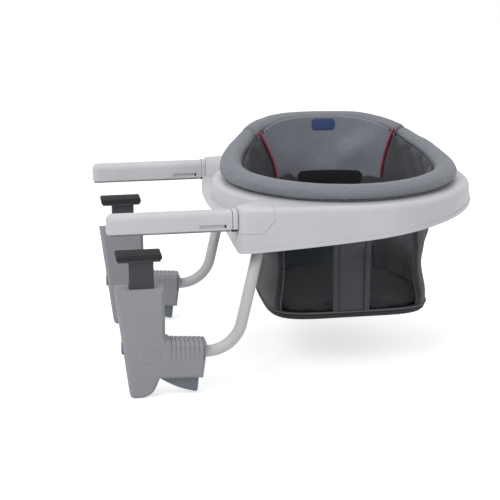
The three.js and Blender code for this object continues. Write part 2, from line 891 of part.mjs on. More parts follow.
function triggerOutline() {
  const { pivotX, pivotZ } = trigger;
  return softened([
    [pivotX - trigger.hubBack, pivotZ],
    [pivotX - trigger.hubBack, pivotZ + trigger.hubTop / 2],
    [pivotX, pivotZ + trigger.hubTop],
    [pivotX + trigger.hubFront, pivotZ + trigger.hubTop],
    [trigger.topFront, trigger.topFrontZ],
    [trigger.toeX, trigger.toeZ, trigger.toeRound],
    [trigger.bellyX, trigger.bellyZ, trigger.bellyRound],
    [trigger.shinX, trigger.shinZ, trigger.bellyRound],
    [trigger.heelX, trigger.heelZ],
  ]).reverse();
}

function makeClampShells(side) {
  const y = side * arm.spread;
  const outline = clampOutline();
  const half = clamp.halfWidth;
  const within = (wall) => {
    const bevel = clamp.edge - (2 - Math.SQRT2) * wall;
    return solid(slabXZ(drawnIn(outline, wall), y - half + wall, y + half - wall, bevel));
  };
  const form = within(0);
  const cavity = within(clamp.wall);
  const boss = solid(box(
    leg.runEnd - clamp.wall, 0, y - half, y + half, leg.runZ - clamp.bossHalf, leg.runZ + clamp.bossHalf,
  ));
  const guide = solid(box(
    jack.back - clamp.wall, jack.front + clamp.wall, y - half, y + half,
    clamp.columnTop - jack.guideDepth, clamp.columnTop,
  ));
  const postWay = solid(box(
    jack.back - gap, jack.front + gap, y - jack.halfWidth - gap, y + jack.halfWidth + gap,
    clamp.columnTop - jack.guideDepth - overrun, clamp.columnTop + overrun,
  ));
  const tubeWay = solid(rodX(leg.radius + gap, leg.runEnd - gap, 0, y, leg.runZ, 24));
  const triggerWay = solid(box(
    trigger.pivotX - trigger.hubBack - 2 * gap, trigger.topFront + clamp.wall + gap,
    y - trigger.halfWidth - gap, y + trigger.halfWidth + gap,
    clamp.toeBottom, clamp.gripBottom + trigger.halfWidth,
  ));
  const pinHalf = half - clamp.wall / 3;
  const pinWay = solid(rodY(
    trigger.pinRadius + gap, y - pinHalf, y + pinHalf, trigger.pivotX, trigger.pivotZ,
  ));
  const window = solid(box(
    columnBack(button.z) - overrun, columnBack(button.z) + overrun,
    y - button.halfWidth - gap, y + button.halfWidth + gap,
    button.z - button.halfHeight - gap, button.z + button.halfHeight + gap,
  ));
  const ways = [cut(cavity, boss, guide), postWay, tubeWay, triggerWay, pinWay, window];
  const core = within(ribs.depth);
  const grooves = Array.from({ length: ribs.count }, (_, i) => {
    const x = ribs.first + i * ribs.pitch;
    const slot = box(x, x + ribs.width, y - half - overrun, y + half + overrun, ribs.bottom, clamp.columnTop);
    return cut(solid(slot), core);
  });
  const body = cut(form, ...ways, ...grooves);
  const reach = 2 * arm.length;
  const [left, right] = [[y - arm.width, y - gap / 2], [y + gap / 2, y + arm.width]].map(
    ([y0, y1]) => body.intersect(solid(box(-reach, reach, y0, y1, -reach, 0))),
  );
  const [outer, inner] = side < 0 ? [left, right] : [right, left];
  put(`clamp_shell_outer_${sideName(side)}`, outer, material.clamp);
  put(`clamp_shell_inner_${sideName(side)}`, inner, material.clamp);
}

function makeJack(side) {
  const y = side * arm.spread;
  const post = box(jack.back, jack.front, y - jack.halfWidth, y + jack.halfWidth, jack.bottom, plateTop);
  const plate = box(
    jack.plateBack, jack.plateFront, y - jack.plateHalf, y + jack.plateHalf, plateBottom, plateTop,
  );
  const teeth = Math.floor((jack.bottom - jack.rackBottom) / jack.rackPitch);
  const outline = [[jack.rackBack, jack.bottom + overrun], [jack.rackBack, jack.rackBottom]];
  for (let i = 0; i < teeth; i += 1) {
    const z = jack.rackBottom + i * jack.rackPitch;
    outline.push([jack.rackFront - jack.rackDepth, z], [jack.rackFront, z + jack.rackPitch * 2 / 3]);
  }
  outline.push([jack.rackFront, jack.bottom + overrun]);
  const rack = slabXZ(outline, y - jack.rackHalf, y + jack.rackHalf);
  put(`jack_post_${sideName(side)}`, join(solid(post), solid(plate), solid(rack)), material.inner);

  const reach = jack.padOverhang;
  const padLevels = [
    [plateTop + gap, reach],
    [-table.thickness - jack.padBevel, reach],
    [-table.thickness, reach - jack.padBevel],
  ];
  const padRings = padLevels.map(([z, out]) => {
    const [x0, x1] = [jack.plateBack - out, jack.plateFront + out];
    const [y0, y1] = [y - jack.plateHalf - out, y + jack.plateHalf + out];
    return [vec(x0, y0, z), vec(x1, y0, z), vec(x1, y1, z), vec(x0, y1, z)];
  });
  put(`jack_pad_${sideName(side)}`, loft(padRings), material.rubber);
}

function makeTrigger(side) {
  const y = side * arm.spread;
  const name = sideName(side);
  const { pivotX, pivotZ, halfWidth, pinRadius } = trigger;
  const blade = solid(slabXZ(triggerOutline(), y - halfWidth, y + halfWidth));
  const hole = solid(rodY(pinRadius + gap, y - arm.width, y + arm.width, pivotX, pivotZ));
  put(`trigger_${name}`, cut(blade, hole), material.trigger);

  const reach = clamp.halfWidth - clamp.wall / 3 - gap;
  put(`trigger_pin_${name}`, rodY(pinRadius, y - reach, y + reach, pivotX, pivotZ, 10), material.steel);
  const start = halfWidth + gap;
  const bore = pinRadius + gap;
  const coil = turned([
    [bore, start], [triggerSpring.radius, start], [triggerSpring.radius, start + triggerSpring.length],
    [bore, start + triggerSpring.length], [bore, start],
  ], 12, 0, 0).rotateX(-quarterTurn).translate(pivotX, y, pivotZ);
  put(`trigger_spring_${name}`, coil, material.steel);
}

function makeButton(side) {
  const y = side * arm.spread;
  const { halfWidth, halfHeight, flangeLap } = button;
  const low = button.z - halfHeight - flangeLap;
  const high = button.z + halfHeight + flangeLap;
  const face = columnBack(button.z) - button.proud;
  const flangeFront = columnBack(low) + clamp.wall + 2 * gap;
  const flangeBack = flangeFront + button.flange;
  const cap = box(
    face, flangeBack, y - halfWidth, y + halfWidth, button.z - halfHeight, button.z + halfHeight,
  );
  const flangeHalf = halfWidth + flangeLap;
  const flange = box(flangeFront, flangeBack, y - flangeHalf, y + flangeHalf, low, high);
  put(`release_button_${sideName(side)}`, join(solid(cap), solid(flange)), material.trigger);
}

function makeLowerArm(side) {
  const bendSteps = 8;
  const path = new LegPath(side * arm.spread, bendSteps);
  const tube = sweep(leg.radius, leg.radius - leg.wall, path, bendSteps + 2, 12);
  put(`lower_tube_${sideName(side)}`, tube, material.paintedTube);
  makeClampShells(side);
  makeJack(side);
  makeTrigger(side);
  makeButton(side);
}

const flangeBottom = frame.deckTop + 2 * gap + glide.thickness;
const flangeTop = flangeBottom + carrier.flangeThickness;
const retainerTop = carrier.skirtBottom - gap;
const retainerBottom = retainerTop - carrier.retainerThickness;

// Equal turns about the seat's axis
function turns(count, make) {
  return Array.from({ length: count }, (_, i) => make(i * 4 * quarterTurn / count));
}

function turnedTo(geometry, angle) {
  return geometry.translate(-frame.centreX, 0, 0).rotateZ(angle).translate(frame.centreX, 0, 0);
}

function makeCarrier() {
  const ring = turned([
    [carrierBore, flangeBottom],
    [skirtInner, flangeBottom],
    [skirtInner, carrier.skirtBottom],
    [skirtOuter, carrier.skirtBottom],
    [skirtOuter, flangeBottom],
    [flangeRadius, flangeBottom],
    [flangeRadius, flangeTop],
    [carrierBore, flangeTop],
    [carrierBore, flangeBottom],
  ], 48);
  const screwRadius = (skirtInner + skirtOuter) / 2;
  const screwTop = carrier.skirtBottom + retainerScrew.length;
  const rods = (radius, z0, z1) => turns(retainerScrew.count, (angle) => solid(
    turnedTo(disc(radius, z0, z1, 6, frame.centreX + screwRadius), angle + quarterTurn / 4),
  ));
  const holes = rods(retainerScrew.radius + gap, retainerTop - overrun, screwTop + gap);
  put('carrier_ring', cut(solid(ring), ...holes), material.inner);

  const retainerEdge = frame.centreX + retainerRadius;
  const notches = turns(4, (angle) => solid(turnedTo(box(
    retainerEdge - lock.notchDepth, retainerEdge + overrun,
    -lock.notchWidth / 2, lock.notchWidth / 2, retainerBottom - overrun, retainerTop + overrun,
  ), angle)));
  const retainer = solid(ringBody(carrierBore, retainerRadius, retainerBottom, retainerTop, 48));
  const heads = rods(retainerScrew.headRadius, retainerBottom - retainerScrew.headHeight, retainerTop - gap);
  const shanks = rods(retainerScrew.radius, retainerBottom, screwTop);
  put('retaining_ring', join(cut(retainer, ...notches), ...heads, ...shanks), material.inner);

  const base = frame.deckTop + gap;
  const glideInner = frame.openingRadius + glide.inset;
  const runner = ringBody(glideInner, glideInner + glide.width, base, base + glide.thickness, 48);
  put('glide_ring', runner, material.sleeve);
}

// The slider that locks the seat in one of its four places, drawn back
function makeLock() {
  const nose = frame.centreX + retainerRadius + 2 * gap;
  const z0 = (retainerTop + retainerBottom - lock.thickness) / 2;
  const z1 = z0 + lock.thickness;
  const end = frame.centreX + frame.sideHalf - frame.wall - lock.backGap;
  const bar = box(nose, end, -lock.halfWidth, lock.halfWidth, z0, z1);
  const tab = box(end - lock.tabLength, end, -lock.halfWidth, lock.halfWidth, lock.tabBottom, z1);
  put('lock_slider', join(solid(bar), solid(tab)), material.trigger);

  const x0 = nose + lockGuide.offset;
  const x1 = end - lock.tabLength - lock.travel - 2 * gap;
  const ceiling = frame.deckTop - frame.wall - gap;
  const block = solid(box(x0, x1, -lockGuide.halfWidth, lockGuide.halfWidth, lockGuide.foot, ceiling));
  const way = solid(box(
    x0 - overrun, x1 + overrun, -lock.halfWidth - gap, lock.halfWidth + gap, z0 - gap, z1 + gap,
  ));
  put('lock_guide', cut(block, way), material.inner);
}

const rimRise = new THREE.SplineCurve(rimRiseShares.map((share, i) => new THREE.Vector2(i, share)));

// Height of the rim's crown at an angle from the back
function rimTop(angle) {
  const place = Math.abs(angle) / (rimRiseStep * (rimRiseShares.length - 1));
  const share = place < 1 ? rimRise.getPoint(place).y : 0;
  return rim.crownLow + rim.rise * Math.max(share, 0);
}

// The padded rim's section at an angle, swollen where the head pad lies
function rimRing(angle, lift, swell) {
  const top = rimTop(angle) + lift;
  const outer = rim.outerRadius + swell;
  const inner = rim.innerRadius;
  const flangeClear = flangeRadius + 2 * gap;
  const crownBase = top - rim.crownHeight;
  const middle = (inner + outer + rim.bulge) / 2;
  const half = (outer + rim.bulge - inner) / 2;
  const crown = spread(0, 2 * quarterTurn, 6).map((a) => {
    const leanIn = rim.innerLift * (1 - Math.cos(a)) / 2;
    return around(angle, middle + half * Math.cos(a), crownBase + rim.crownHeight * Math.sin(a) + leanIn);
  });
  const waist = (rim.base + crownBase) / 2;
  return [
    around(angle, flangeClear, rim.base),
    around(angle, outer - rim.skirtWidth / 4, rim.base),
    around(angle, outer + rim.bulge * 3 / 4, waist),
    ...crown,
    around(angle, inner, flangeTop + gap),
    around(angle, flangeClear, flangeTop + gap),
  ];
}

function makeRim() {
  const seam = gap / rim.innerRadius;
  const front = spread(rim.headAngle + seam, 4 * quarterTurn - rim.headAngle - seam, 46);
  const wrapped = front.map((a) => (a > 2 * quarterTurn ? a - 4 * quarterTurn : a));
  put('rim_pad', loft(wrapped.map((a) => rimRing(a, 0, 0))), material.leatherette);
  const head = spread(-rim.headAngle, rim.headAngle, 20);
  put('head_pad', loft(head.map((a) => rimRing(a, rim.headLift, rim.headSwell))), material.leatherette);
}

// The seat pan's radius at an angle: round behind and squarer in front
function panRadius(angle) {
  const power = Math.cos(angle) > 0 ? pan.backPower : pan.frontPower;
  const sum = Math.abs(Math.sin(angle)) ** power + Math.abs(Math.cos(angle)) ** power;
  return pan.halfWidth / sum ** (1 / power);
}

// A point on the hanging cloth, a depth inside its outer face
function clothPoint(angle, z, depth) {
  const share = THREE.MathUtils.smoothstep(-z, -wallCloth.funnelTop, -wallCloth.funnelBottom);
  const away = (z - wallCloth.pinchZ) / wallCloth.pinchReach;
  const pinch = 1 - wallCloth.pinchShare * Math.exp(-away * away) * share;
  const hanging = THREE.MathUtils.lerp(wallCloth.radius, panRadius(angle) - gap, share);
  return around(angle, hanging * pinch - depth, z);
}

const clothBottom = pan.top + gap;

function clothTop(angle) {
  const lifted = Math.abs(angle) < rim.headAngle ? rim.headLift : 0;
  return rimTop(angle) + lifted - wallCloth.topDrop;
}

// A curved sheet between two edges that may lean, from its bottom to a top that follows the rim
function clothPanel(startAt, endAt, columns, rows, bottom, topAt, depth0 = 0, depth1 = wallCloth.thickness) {
  const crest = rim.crownLow + rim.rise;
  const rings = range(columns).map((t) => {
    const at = (z) => THREE.MathUtils.lerp(startAt(z), endAt(z), t);
    const heights = spread(bottom, topAt(at(crest)), rows);
    const outer = heights.map((z) => clothPoint(at(z), z, depth0));
    const inner = heights.map((z) => clothPoint(at(z), z, depth1)).reverse();
    return [...outer, ...inner];
  });
  return loft(rings, sheetEnd);
}

// The angle of the seam between back and side, by height: the hanging cloth has drifted a little round
function seamAngle(side, z) {
  const share = THREE.MathUtils.clamp(THREE.MathUtils.inverseLerp(piping.lowZ, piping.topZ, z), 0, 1);
  const drift = piping.drift * (1 - THREE.MathUtils.smoothstep(z, piping.driftZ, piping.topZ));
  return side * THREE.MathUtils.lerp(piping.lowAngle, piping.topAngle, share) + drift;
}

function legAngle(side) {
  return side * wallCloth.legAngle + wallCloth.legDrift;
}

function makeCloth() {
  const edge = 2 * gap / wallCloth.radius;
  const back = clothPanel((z) => seamAngle(-1, z), (z) => seamAngle(1, z), 12, 10, clothBottom, clothTop);
  put('back_liner', back, material.leatherette);
  for (const side of [-1, 1]) {
    const panel = clothPanel(
      (z) => seamAngle(side, z) + side * edge, () => legAngle(side), 11, 10, clothBottom, clothTop,
    );
    put(`side_liner_${sideName(side)}`, panel, material.sideCloth);
    makePiping(side);
  }
  const front = clothPanel(
    () => legAngle(1) + edge, () => legAngle(-1) - edge + 4 * quarterTurn, 14, 2,
    wallCloth.legTop, () => rim.crownLow - wallCloth.topDrop,
  );
  put('front_liner', front, material.leatherette);

  for (const side of [-1, 1]) {
    const span = binding.width / wallCloth.radius;
    const tape = clothPanel(
      () => legAngle(side) + side * edge, () => legAngle(side) + side * (edge + span), 1, 10,
      clothBottom, () => wallCloth.legTop - gap,
      -binding.proud, wallCloth.thickness + binding.proud,
    );
    put(`leg_binding_${sideName(side)}`, tape, material.bindingTape);
  }
}

function makePiping(side) {
  const depth = wallCloth.thickness + piping.lift;
  const heights = spread(rimTop(piping.topAngle) - piping.topInset, clothBottom + piping.bottomInset, 16);
  const points = heights.map((z) => clothPoint(seamAngle(side, z), z, depth));
  const path = new THREE.CatmullRomCurve3(points);
  put(`piping_${sideName(side)}`, sweep(piping.radius, 0, path, 14, 6), material.pipingTape);
}

// The narrow panel between the legs
function makeCrotch() {
  const top = wallCloth.legTop - gap;
  const heights = [...spread(top, crotch.settleZ, 3), ...spread(crotch.settleZ, clothBottom, 3).slice(1)];
  const rings = heights.map((z) => {
    const drop = (top - z) / (top - clothBottom);
    const settle = THREE.MathUtils.smoothstep(top - z, 0, top - crotch.settleZ);
    const half = THREE.MathUtils.lerp(crotch.topHalf, crotch.bottomHalf, drop);
    const corners = [[-half, 0], [half, 0], [half, crotch.thickness], [-half, crotch.thickness]];
    const front = THREE.MathUtils.lerp(wallCloth.radius - crotch.thickness / 2, pan.halfWidth - gap, settle);
    return corners.map(([x, depth]) => vec(frame.centreX + crotch.shift + x, depth - front, z));
  });
  put('crotch_panel', loft(rings), material.bucketCloth);
}

function panRing(inset, z) {
  return spread(0, 4 * quarterTurn, 36).slice(1).map((a) => around(a, panRadius(a) - inset, z));
}

function makePan() {
  const body = solid(loft([
    panRing(pan.edgeRound, pan.bottom),
    panRing(pan.edgeRound / 3, pan.bottom + pan.edgeRound / 4),
    panRing(0, pan.bottom + pan.edgeRound * 2 / 3),
    panRing(0, pan.top),
  ]));
  const recess = solid(loft([
    panRing(pan.rimWidth, pan.top - pan.recess),
    panRing(pan.rimWidth, pan.top + overrun),
  ]));
  put('seat_pan', cut(body, recess), material.bucketCloth);

  const inset = pan.rimWidth + gap;
  const boardBottom = pan.top - pan.recess + gap;
  const boardTop = boardBottom + pan.boardThickness;
  put('seat_board', loft([panRing(inset, boardBottom), panRing(inset, boardTop)]), material.inner);

  const base = boardTop + gap;
  const edgeTop = base + pan.cushionEdge;
  const foot = inset + wallCloth.drape;
  const crown = spread(0, pan.cushionSpanShare, 4).map((share) => (
    [foot + (pan.halfWidth - foot) * share, edgeTop + pan.cushionCrown * (1 - (1 - share) ** 3)]
  ));
  const cushion = [panRing(foot + gap, base), ...crown.map(([shrink, z]) => panRing(shrink, z))];
  put('seat_cushion', loft(cushion), material.bucketCloth);
}

function makeHarness() {
  const skin = wallCloth.thickness + wallCloth.drape;
  const band = (startAngle, endAngle, columns, bottom, top, outer, thickness) => clothPanel(
    () => startAngle, () => endAngle, columns, 2, bottom, () => top, outer, outer + thickness,
  );
  const [beltStart, beltEnd] = [-1, 1].map((side) => belt.centreAngle + side * belt.halfAngle);
  const pad = band(beltStart, beltEnd, 10, belt.bottom, belt.top, skin, belt.thickness);
  put('waist_belt', pad, material.webbing);
  const strapDepth = skin + belt.thickness + gap;
  for (const side of [-1, 1]) {
    const strap = band(
      belt.centreAngle + side * (belt.halfAngle - beltStrap.lapAngle), side * beltStrap.outerAngle, 8,
      beltStrap.bottom, beltStrap.top,
      strapDepth, beltStrap.thickness,
    );
    put(`belt_strap_${sideName(side)}`, strap, material.webbing);
  }

  const labelHalf = label.width / 2 / wallCloth.radius;
  const patch = band(
    label.centreAngle - labelHalf, label.centreAngle + labelHalf, 4,
    label.centreZ - label.height / 2, label.centreZ + label.height / 2, skin, label.thickness,
  );
  put('label', patch, material.patch);

  const middleX = frame.centreX + crotch.shift;
  const strapY = crotch.thickness + 2 * gap - pan.halfWidth;
  const strapFoot = pan.top + pan.cushionEdge + pan.cushionCrown;
  const strap = box(
    middleX - crotchStrap.halfWidth, middleX + crotchStrap.halfWidth,
    strapY, strapY + crotchStrap.thickness, strapFoot, crotchStrap.top,
  );
  put('crotch_strap', strap, material.webbing);

  const z0 = crotchStrap.top + gap;
  const z1 = z0 + buckle.height;
  const y1 = strapY + buckle.depth;
  const rounded = [
    [middleX - buckle.halfWidth, z0 + buckle.round], [middleX - buckle.halfWidth + buckle.round, z0],
    [middleX + buckle.halfWidth - buckle.round, z0], [middleX + buckle.halfWidth, z0 + buckle.round],
    [middleX + buckle.halfWidth, z1 - buckle.round], [middleX + buckle.halfWidth - buckle.round, z1],
    [middleX - buckle.halfWidth + buckle.round, z1], [middleX - buckle.halfWidth, z1 - buckle.round],
  ];
  const middleZ = (z0 + z1) / 2;
  const well = solid(box(
    middleX - buckle.buttonHalf - gap, middleX + buckle.buttonHalf + gap,
    strapY + buckle.wall, y1 + overrun,
    middleZ - buckle.buttonHeight / 2 - gap, middleZ + buckle.buttonHeight / 2 + gap,
  ));
  put('buckle_body', cut(solid(slabXZ(rounded, strapY, y1)), well), material.buckle);
  const press = box(
    middleX - buckle.buttonHalf, middleX + buckle.buttonHalf,
    strapY + buckle.wall + buckle.travel + gap, y1 + gap,
    middleZ - buckle.buttonHeight / 2, middleZ + buckle.buttonHeight / 2,
  );
  put('buckle_button', press, material.trigger);
}

makeFrame();
makeLipPad();
for (const side of [-1, 1]) {
  makeArm(side);
  makeBracket(side);
  makeLowerArm(side);
}
makeCarrier();
makeLock();
makeRim();
makeCloth();
makeCrotch();
makePan();
makeHarness();

// The part's origin is the middle of the lip's seat on the table
chair.position.x = lipSeatInset;
export default chair;
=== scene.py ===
import bpy
import bmesh
import json
from math import atan2, cos, exp, hypot, pi, radians, sin
from mathutils import Matrix, Vector, noise

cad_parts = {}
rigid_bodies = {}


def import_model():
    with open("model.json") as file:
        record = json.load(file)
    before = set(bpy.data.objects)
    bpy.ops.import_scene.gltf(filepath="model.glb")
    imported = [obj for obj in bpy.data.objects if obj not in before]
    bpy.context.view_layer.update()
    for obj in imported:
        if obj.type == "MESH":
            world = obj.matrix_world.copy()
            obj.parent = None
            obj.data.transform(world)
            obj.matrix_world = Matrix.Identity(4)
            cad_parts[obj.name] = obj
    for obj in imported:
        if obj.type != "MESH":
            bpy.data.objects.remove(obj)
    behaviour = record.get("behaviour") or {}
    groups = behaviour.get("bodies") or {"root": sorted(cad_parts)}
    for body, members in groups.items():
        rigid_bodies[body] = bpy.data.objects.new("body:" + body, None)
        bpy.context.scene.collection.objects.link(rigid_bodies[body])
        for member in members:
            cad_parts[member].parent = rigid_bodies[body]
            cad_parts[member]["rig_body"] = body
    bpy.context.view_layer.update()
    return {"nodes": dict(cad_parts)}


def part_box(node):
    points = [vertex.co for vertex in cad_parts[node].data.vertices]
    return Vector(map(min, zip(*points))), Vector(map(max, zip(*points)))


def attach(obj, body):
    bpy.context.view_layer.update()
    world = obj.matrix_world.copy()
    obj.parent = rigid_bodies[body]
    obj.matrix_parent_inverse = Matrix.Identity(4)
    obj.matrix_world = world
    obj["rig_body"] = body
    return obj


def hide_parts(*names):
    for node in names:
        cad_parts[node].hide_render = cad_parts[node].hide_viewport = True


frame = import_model()
nodes = frame["nodes"]
gathered = bpy.context.scene.collection

# Sizes that several pieces share, in metres. Angles run from the seat's back, +Y, towards +X.
sides = {"left": -1, "right": 1}
armY = 0.175
ring = {
    "centreX": 0.202,
    "deckTop": 0.0346,
    "flangeRadius": 0.1786,
    "flangeTop": 0.0411,
    "inner": 0.149,
    "outer": 0.186,
    "bulge": 0.0035,
    "crownLow": 0.0553,
    "rise": 0.0471,
    "riseShares": [1, 1, 0.98, 0.92, 0.8, 0.65, 0.5, 0.36, 0.22, 0.1, 0.03, 0],
    "riseStep": radians(10),
    "headAngle": radians(48.7),
    "headTurn": radians(2.2),
    "headSkew": radians(1.2),
    "headLift": 0.006,
    "besideLift": 0.0038,
    "besideReach": radians(14),
    "headSwell": 0.0014,
}
cloth = {
    "radius": 0.1486,
    "topDrop": 0.005,
    "funnelTop": -0.036,
    "funnelBottom": -0.096,
    "pinchShare": 0.045,
    "pinchZ": -0.0885,
    "belly": 0.0018,
    "bellyZ": -0.136,
    "bellyReach": 0.014,
    "pinchReach": 0.030,
    "bottom": -0.1517,
    "panHalf": 0.1279,
    "panGap": 0.0003,
    "panTop": -0.152,
    "panBottom": -0.1628,
    "legAngle": radians(133.5),
    "legDrift": radians(2.5),
    "legTop": -0.012,
    "splitZ": -0.031,
    "crest": 0.102,
}


class Wire:
    def __init__(self, paint, socket):
        self.paint = paint
        self.socket = socket

    def __add__(self, other):
        return self.paint.maths("ADD", self, other)

    def __rsub__(self, other):
        return self.paint.maths("SUBTRACT", other, self)

    def __mul__(self, other):
        return self.paint.maths("MULTIPLY", self, other)

    def __truediv__(self, other):
        return self.paint.maths("DIVIDE", self, other)

    __radd__ = __add__
    __rmul__ = __mul__


class Paint:
    def __init__(self, name):
        self.material = bpy.data.materials.new(name)
        self.material.use_nodes = True
        self.tree = self.material.node_tree
        self.shader = self.tree.nodes["Principled BSDF"]

    def node(self, kind, settings=None, inputs=None, output=0):
        made = self.tree.nodes.new(kind)
        for key, value in (settings or {}).items():
            if key == "stops":
                for stop, (place, colour) in zip(made.color_ramp.elements, value):
                    stop.position = place
                    stop.color = colour
            else:
                setattr(made, key, value)
        for key, value in (inputs or {}).items():
            self.feed(made.inputs[key], value)
        return Wire(self, made.outputs[output])

    def feed(self, socket, value):
        if isinstance(value, Wire):
            self.tree.links.new(value.socket, socket)
        else:
            socket.default_value = value

    def maths(self, operation, *values):
        return self.node("ShaderNodeMath", {"operation": operation}, dict(enumerate(values)))

    def spot(self):
        return self.node("ShaderNodeTexCoord", output="Object")

    def along(self, axis, vector=None):
        return self.node("ShaderNodeSeparateXYZ", {}, {0: vector or self.spot()}, "XYZ".index(axis))

    def onCloth(self, axis):
        return self.along(axis, self.node("ShaderNodeUVMap", {"uv_map": "cloth"}))

    def noise(self, scale, detail=3, roughness=0.5, vector=None):
        return self.node("ShaderNodeTexNoise", {}, {
            "Vector": vector or self.spot(), "Scale": scale, "Detail": detail, "Roughness": roughness,
        })

    def stretched(self, x, y, z):
        return self.node("ShaderNodeMapping", {}, {"Vector": self.spot(), "Scale": (x, y, z)})

    def between(self, value, low, high, newLow=0, newHigh=1):
        return self.node("ShaderNodeMapRange", {"interpolation_type": "SMOOTHSTEP"}, {
            0: value, 1: low, 2: high, 3: newLow, 4: newHigh,
        })

    def blended(self, share, first, second):
        return self.node("ShaderNodeMix", {"data_type": "RGBA"}, {0: share, 6: first, 7: second}, 2)

    def bump(self, height, depth, strength=1.0):
        return self.node("ShaderNodeBump", {}, {"Height": height, "Distance": depth, "Strength": strength})

    def finish(self, colour, roughness, normal=None, **fixed):
        self.feed(self.shader.inputs["Base Color"], colour)
        self.feed(self.shader.inputs["Roughness"], roughness)
        if normal:
            self.feed(self.shader.inputs["Normal"], normal)
        for key, value in fixed.items():
            self.shader.inputs[key.replace("_", " ")].default_value = value
        return self.material


def tone(code, lift=1.0):
    channels = [int(code[i:i + 2], 16) / 255 for i in (0, 2, 4)]
    linear = [c / 12.92 if c <= 0.04045 else ((c + 0.055) / 1.055) ** 2.4 for c in channels]
    return tuple(min(c * lift, 1) for c in linear) + (1,)


def mouldedPlastic(name, code, roughness, grain=0.00003, cells=2600, mottle=0.05):
    paint = Paint(name)
    patches = paint.between(paint.noise(16, 4), 0.3, 0.7)
    colour = paint.blended(patches, tone(code, 1 - mottle), tone(code, 1 + mottle / 3))
    texture = paint.noise(cells, 2, 0.6)
    uneven = paint.noise(45, 3)
    return paint.finish(
        colour, roughness - 0.06 + uneven * 0.12, paint.bump(texture, grain, 0.8), Specular_IOR_Level=0.42,
    )


def grainedLeatherette(name, code, roughness=0.5):
    paint = Paint(name)
    drift = paint.noise(260, 2)
    bent = paint.node("ShaderNodeVectorMath", {"operation": "MULTIPLY_ADD"}, {
        0: paint.node("ShaderNodeTexNoise", {}, {"Vector": paint.spot(), "Scale": 320.0}, 1),
        1: (0.0011, 0.0011, 0.0011),
        2: paint.spot(),
    })
    cells = paint.node("ShaderNodeTexVoronoi", {"feature": "DISTANCE_TO_EDGE"}, {
        "Vector": bent, "Scale": 640.0,
    })
    pebble = paint.between(cells, 0.0, 0.22)
    pores = paint.noise(3400, 2)
    wrinkles = paint.between(paint.noise(34, 5, 0.62), 0.36, 0.62)
    soft = paint.between(paint.noise(9, 3), 0.32, 0.68)
    base = paint.blended(soft, tone(code, 0.86), tone(code, 1.06))
    # darker along the creases between the grain's pebbles, as painted shade
    colour = paint.blended(pebble, tone(code, 0.72), base)
    height = pebble * 0.30 + pores * 0.14 + wrinkles * 0.9 + drift * 0.12
    sheen = roughness + 0.09 - pebble * 0.10 + soft * 0.05
    return paint.finish(
        colour, sheen, paint.bump(height, 0.00042, 0.75), Specular_IOR_Level=0.4, Sheen_Weight=0.06,
        Sheen_Roughness=0.5,
    )


# Threads that pass over and under each other, by turns; the shift keeps the count positive
def plainWeave(paint, u, v, shift=4000):
    parity = paint.maths("MODULO", paint.maths("FLOOR", u) + paint.maths("FLOOR", v) + shift, 2.0)
    warp = paint.maths("SINE", paint.maths("FRACT", u) * pi)
    weft = paint.maths("SINE", paint.maths("FRACT", v) * pi)
    return warp * parity + weft * (1 - parity)


def wovenCloth(name, code, pitch, rib=0.0, dark=0.55, fuzz=0.10, roughness=0.86):
    paint = Paint(name)
    thread = plainWeave(paint, paint.onCloth("X") / pitch, paint.onCloth("Y") / pitch)
    fibres = paint.noise(2600, 3, 0.7)
    worn = paint.between(paint.noise(22, 4, 0.6), 0.3, 0.7)
    light = paint.blended(worn, tone(code, 0.88), tone(code, 1.14))
    # darker where the threads and fibres sink and lighter on their crests, as painted shade
    colour = paint.blended(thread * 0.75 + fibres * 0.25, tone(code, dark), light)
    height = thread + fibres * 0.5
    if rib:
        height = height + paint.maths("SINE", paint.onCloth("Y") * (2 * pi / rib)) * 0.55
    return paint.finish(
        colour, roughness + fibres * 0.08, paint.bump(height, pitch * 0.22, 0.8),
        Specular_IOR_Level=0.25, Sheen_Weight=fuzz, Sheen_Roughness=0.6,
    )


# The same weave on a piece that lies flat and has no cloth map
def flatWeave(name, code, pitch):
    paint = Paint(name)
    thread = plainWeave(paint, paint.along("X") / pitch, paint.along("Y") / pitch)
    fibres = paint.noise(2600, 3, 0.7)
    # darker where the threads and fibres sink, as painted shade
    colour = paint.blended(thread * 0.7 + fibres * 0.3, tone(code, 0.55), tone(code, 1.15))
    return paint.finish(
        colour, 0.88, paint.bump(thread + fibres * 0.5, pitch * 0.2, 0.8), Specular_IOR_Level=0.25,
        Sheen_Weight=0.1,
    )


def ribbedWebbing(name, code, rib=0.0016, pitch=0.0009):
    paint = Paint(name)
    ridge = paint.maths("SINE", paint.onCloth("X") * (2 * pi / rib))
    cross = paint.maths("SINE", paint.onCloth("Y") * (2 * pi / pitch))
    fibres = paint.noise(2400, 3, 0.7)
    height = ridge * 0.5 + cross * 0.3 + fibres * 0.5
    # lighter on the ribs and darker in the grooves between them, as painted highlight and shade
    share = paint.between(height, -0.6, 1.2)
    colour = paint.blended(share, tone(code, 0.5), tone(code, 1.5))
    return paint.finish(
        colour, 0.82 + fibres * 0.1, paint.bump(height, 0.00022, 0.8), Specular_IOR_Level=0.25,
        Sheen_Weight=0.08,
    )


def brushedSteel(name, code):
    paint = Paint(name)
    streaks = paint.noise(900, 3, 0.6, paint.stretched(0.03, 1, 1))
    colour = paint.blended(streaks, tone(code, 0.85), tone(code, 1.1))
    return paint.finish(colour, 0.26 + streaks * 0.16, paint.bump(streaks, 0.00003, 0.6), Metallic=1.0)


def mattRubber(name, code, roughness=0.8):
    paint = Paint(name)
    specks = paint.noise(1900, 3, 0.7)
    dusty = paint.between(paint.noise(30, 3), 0.35, 0.75)
    colour = paint.blended(dusty, tone(code, 0.85), tone(code, 1.2))
    return paint.finish(colour, roughness - 0.05 + specks * 0.12, paint.bump(specks, 0.00006, 0.7))


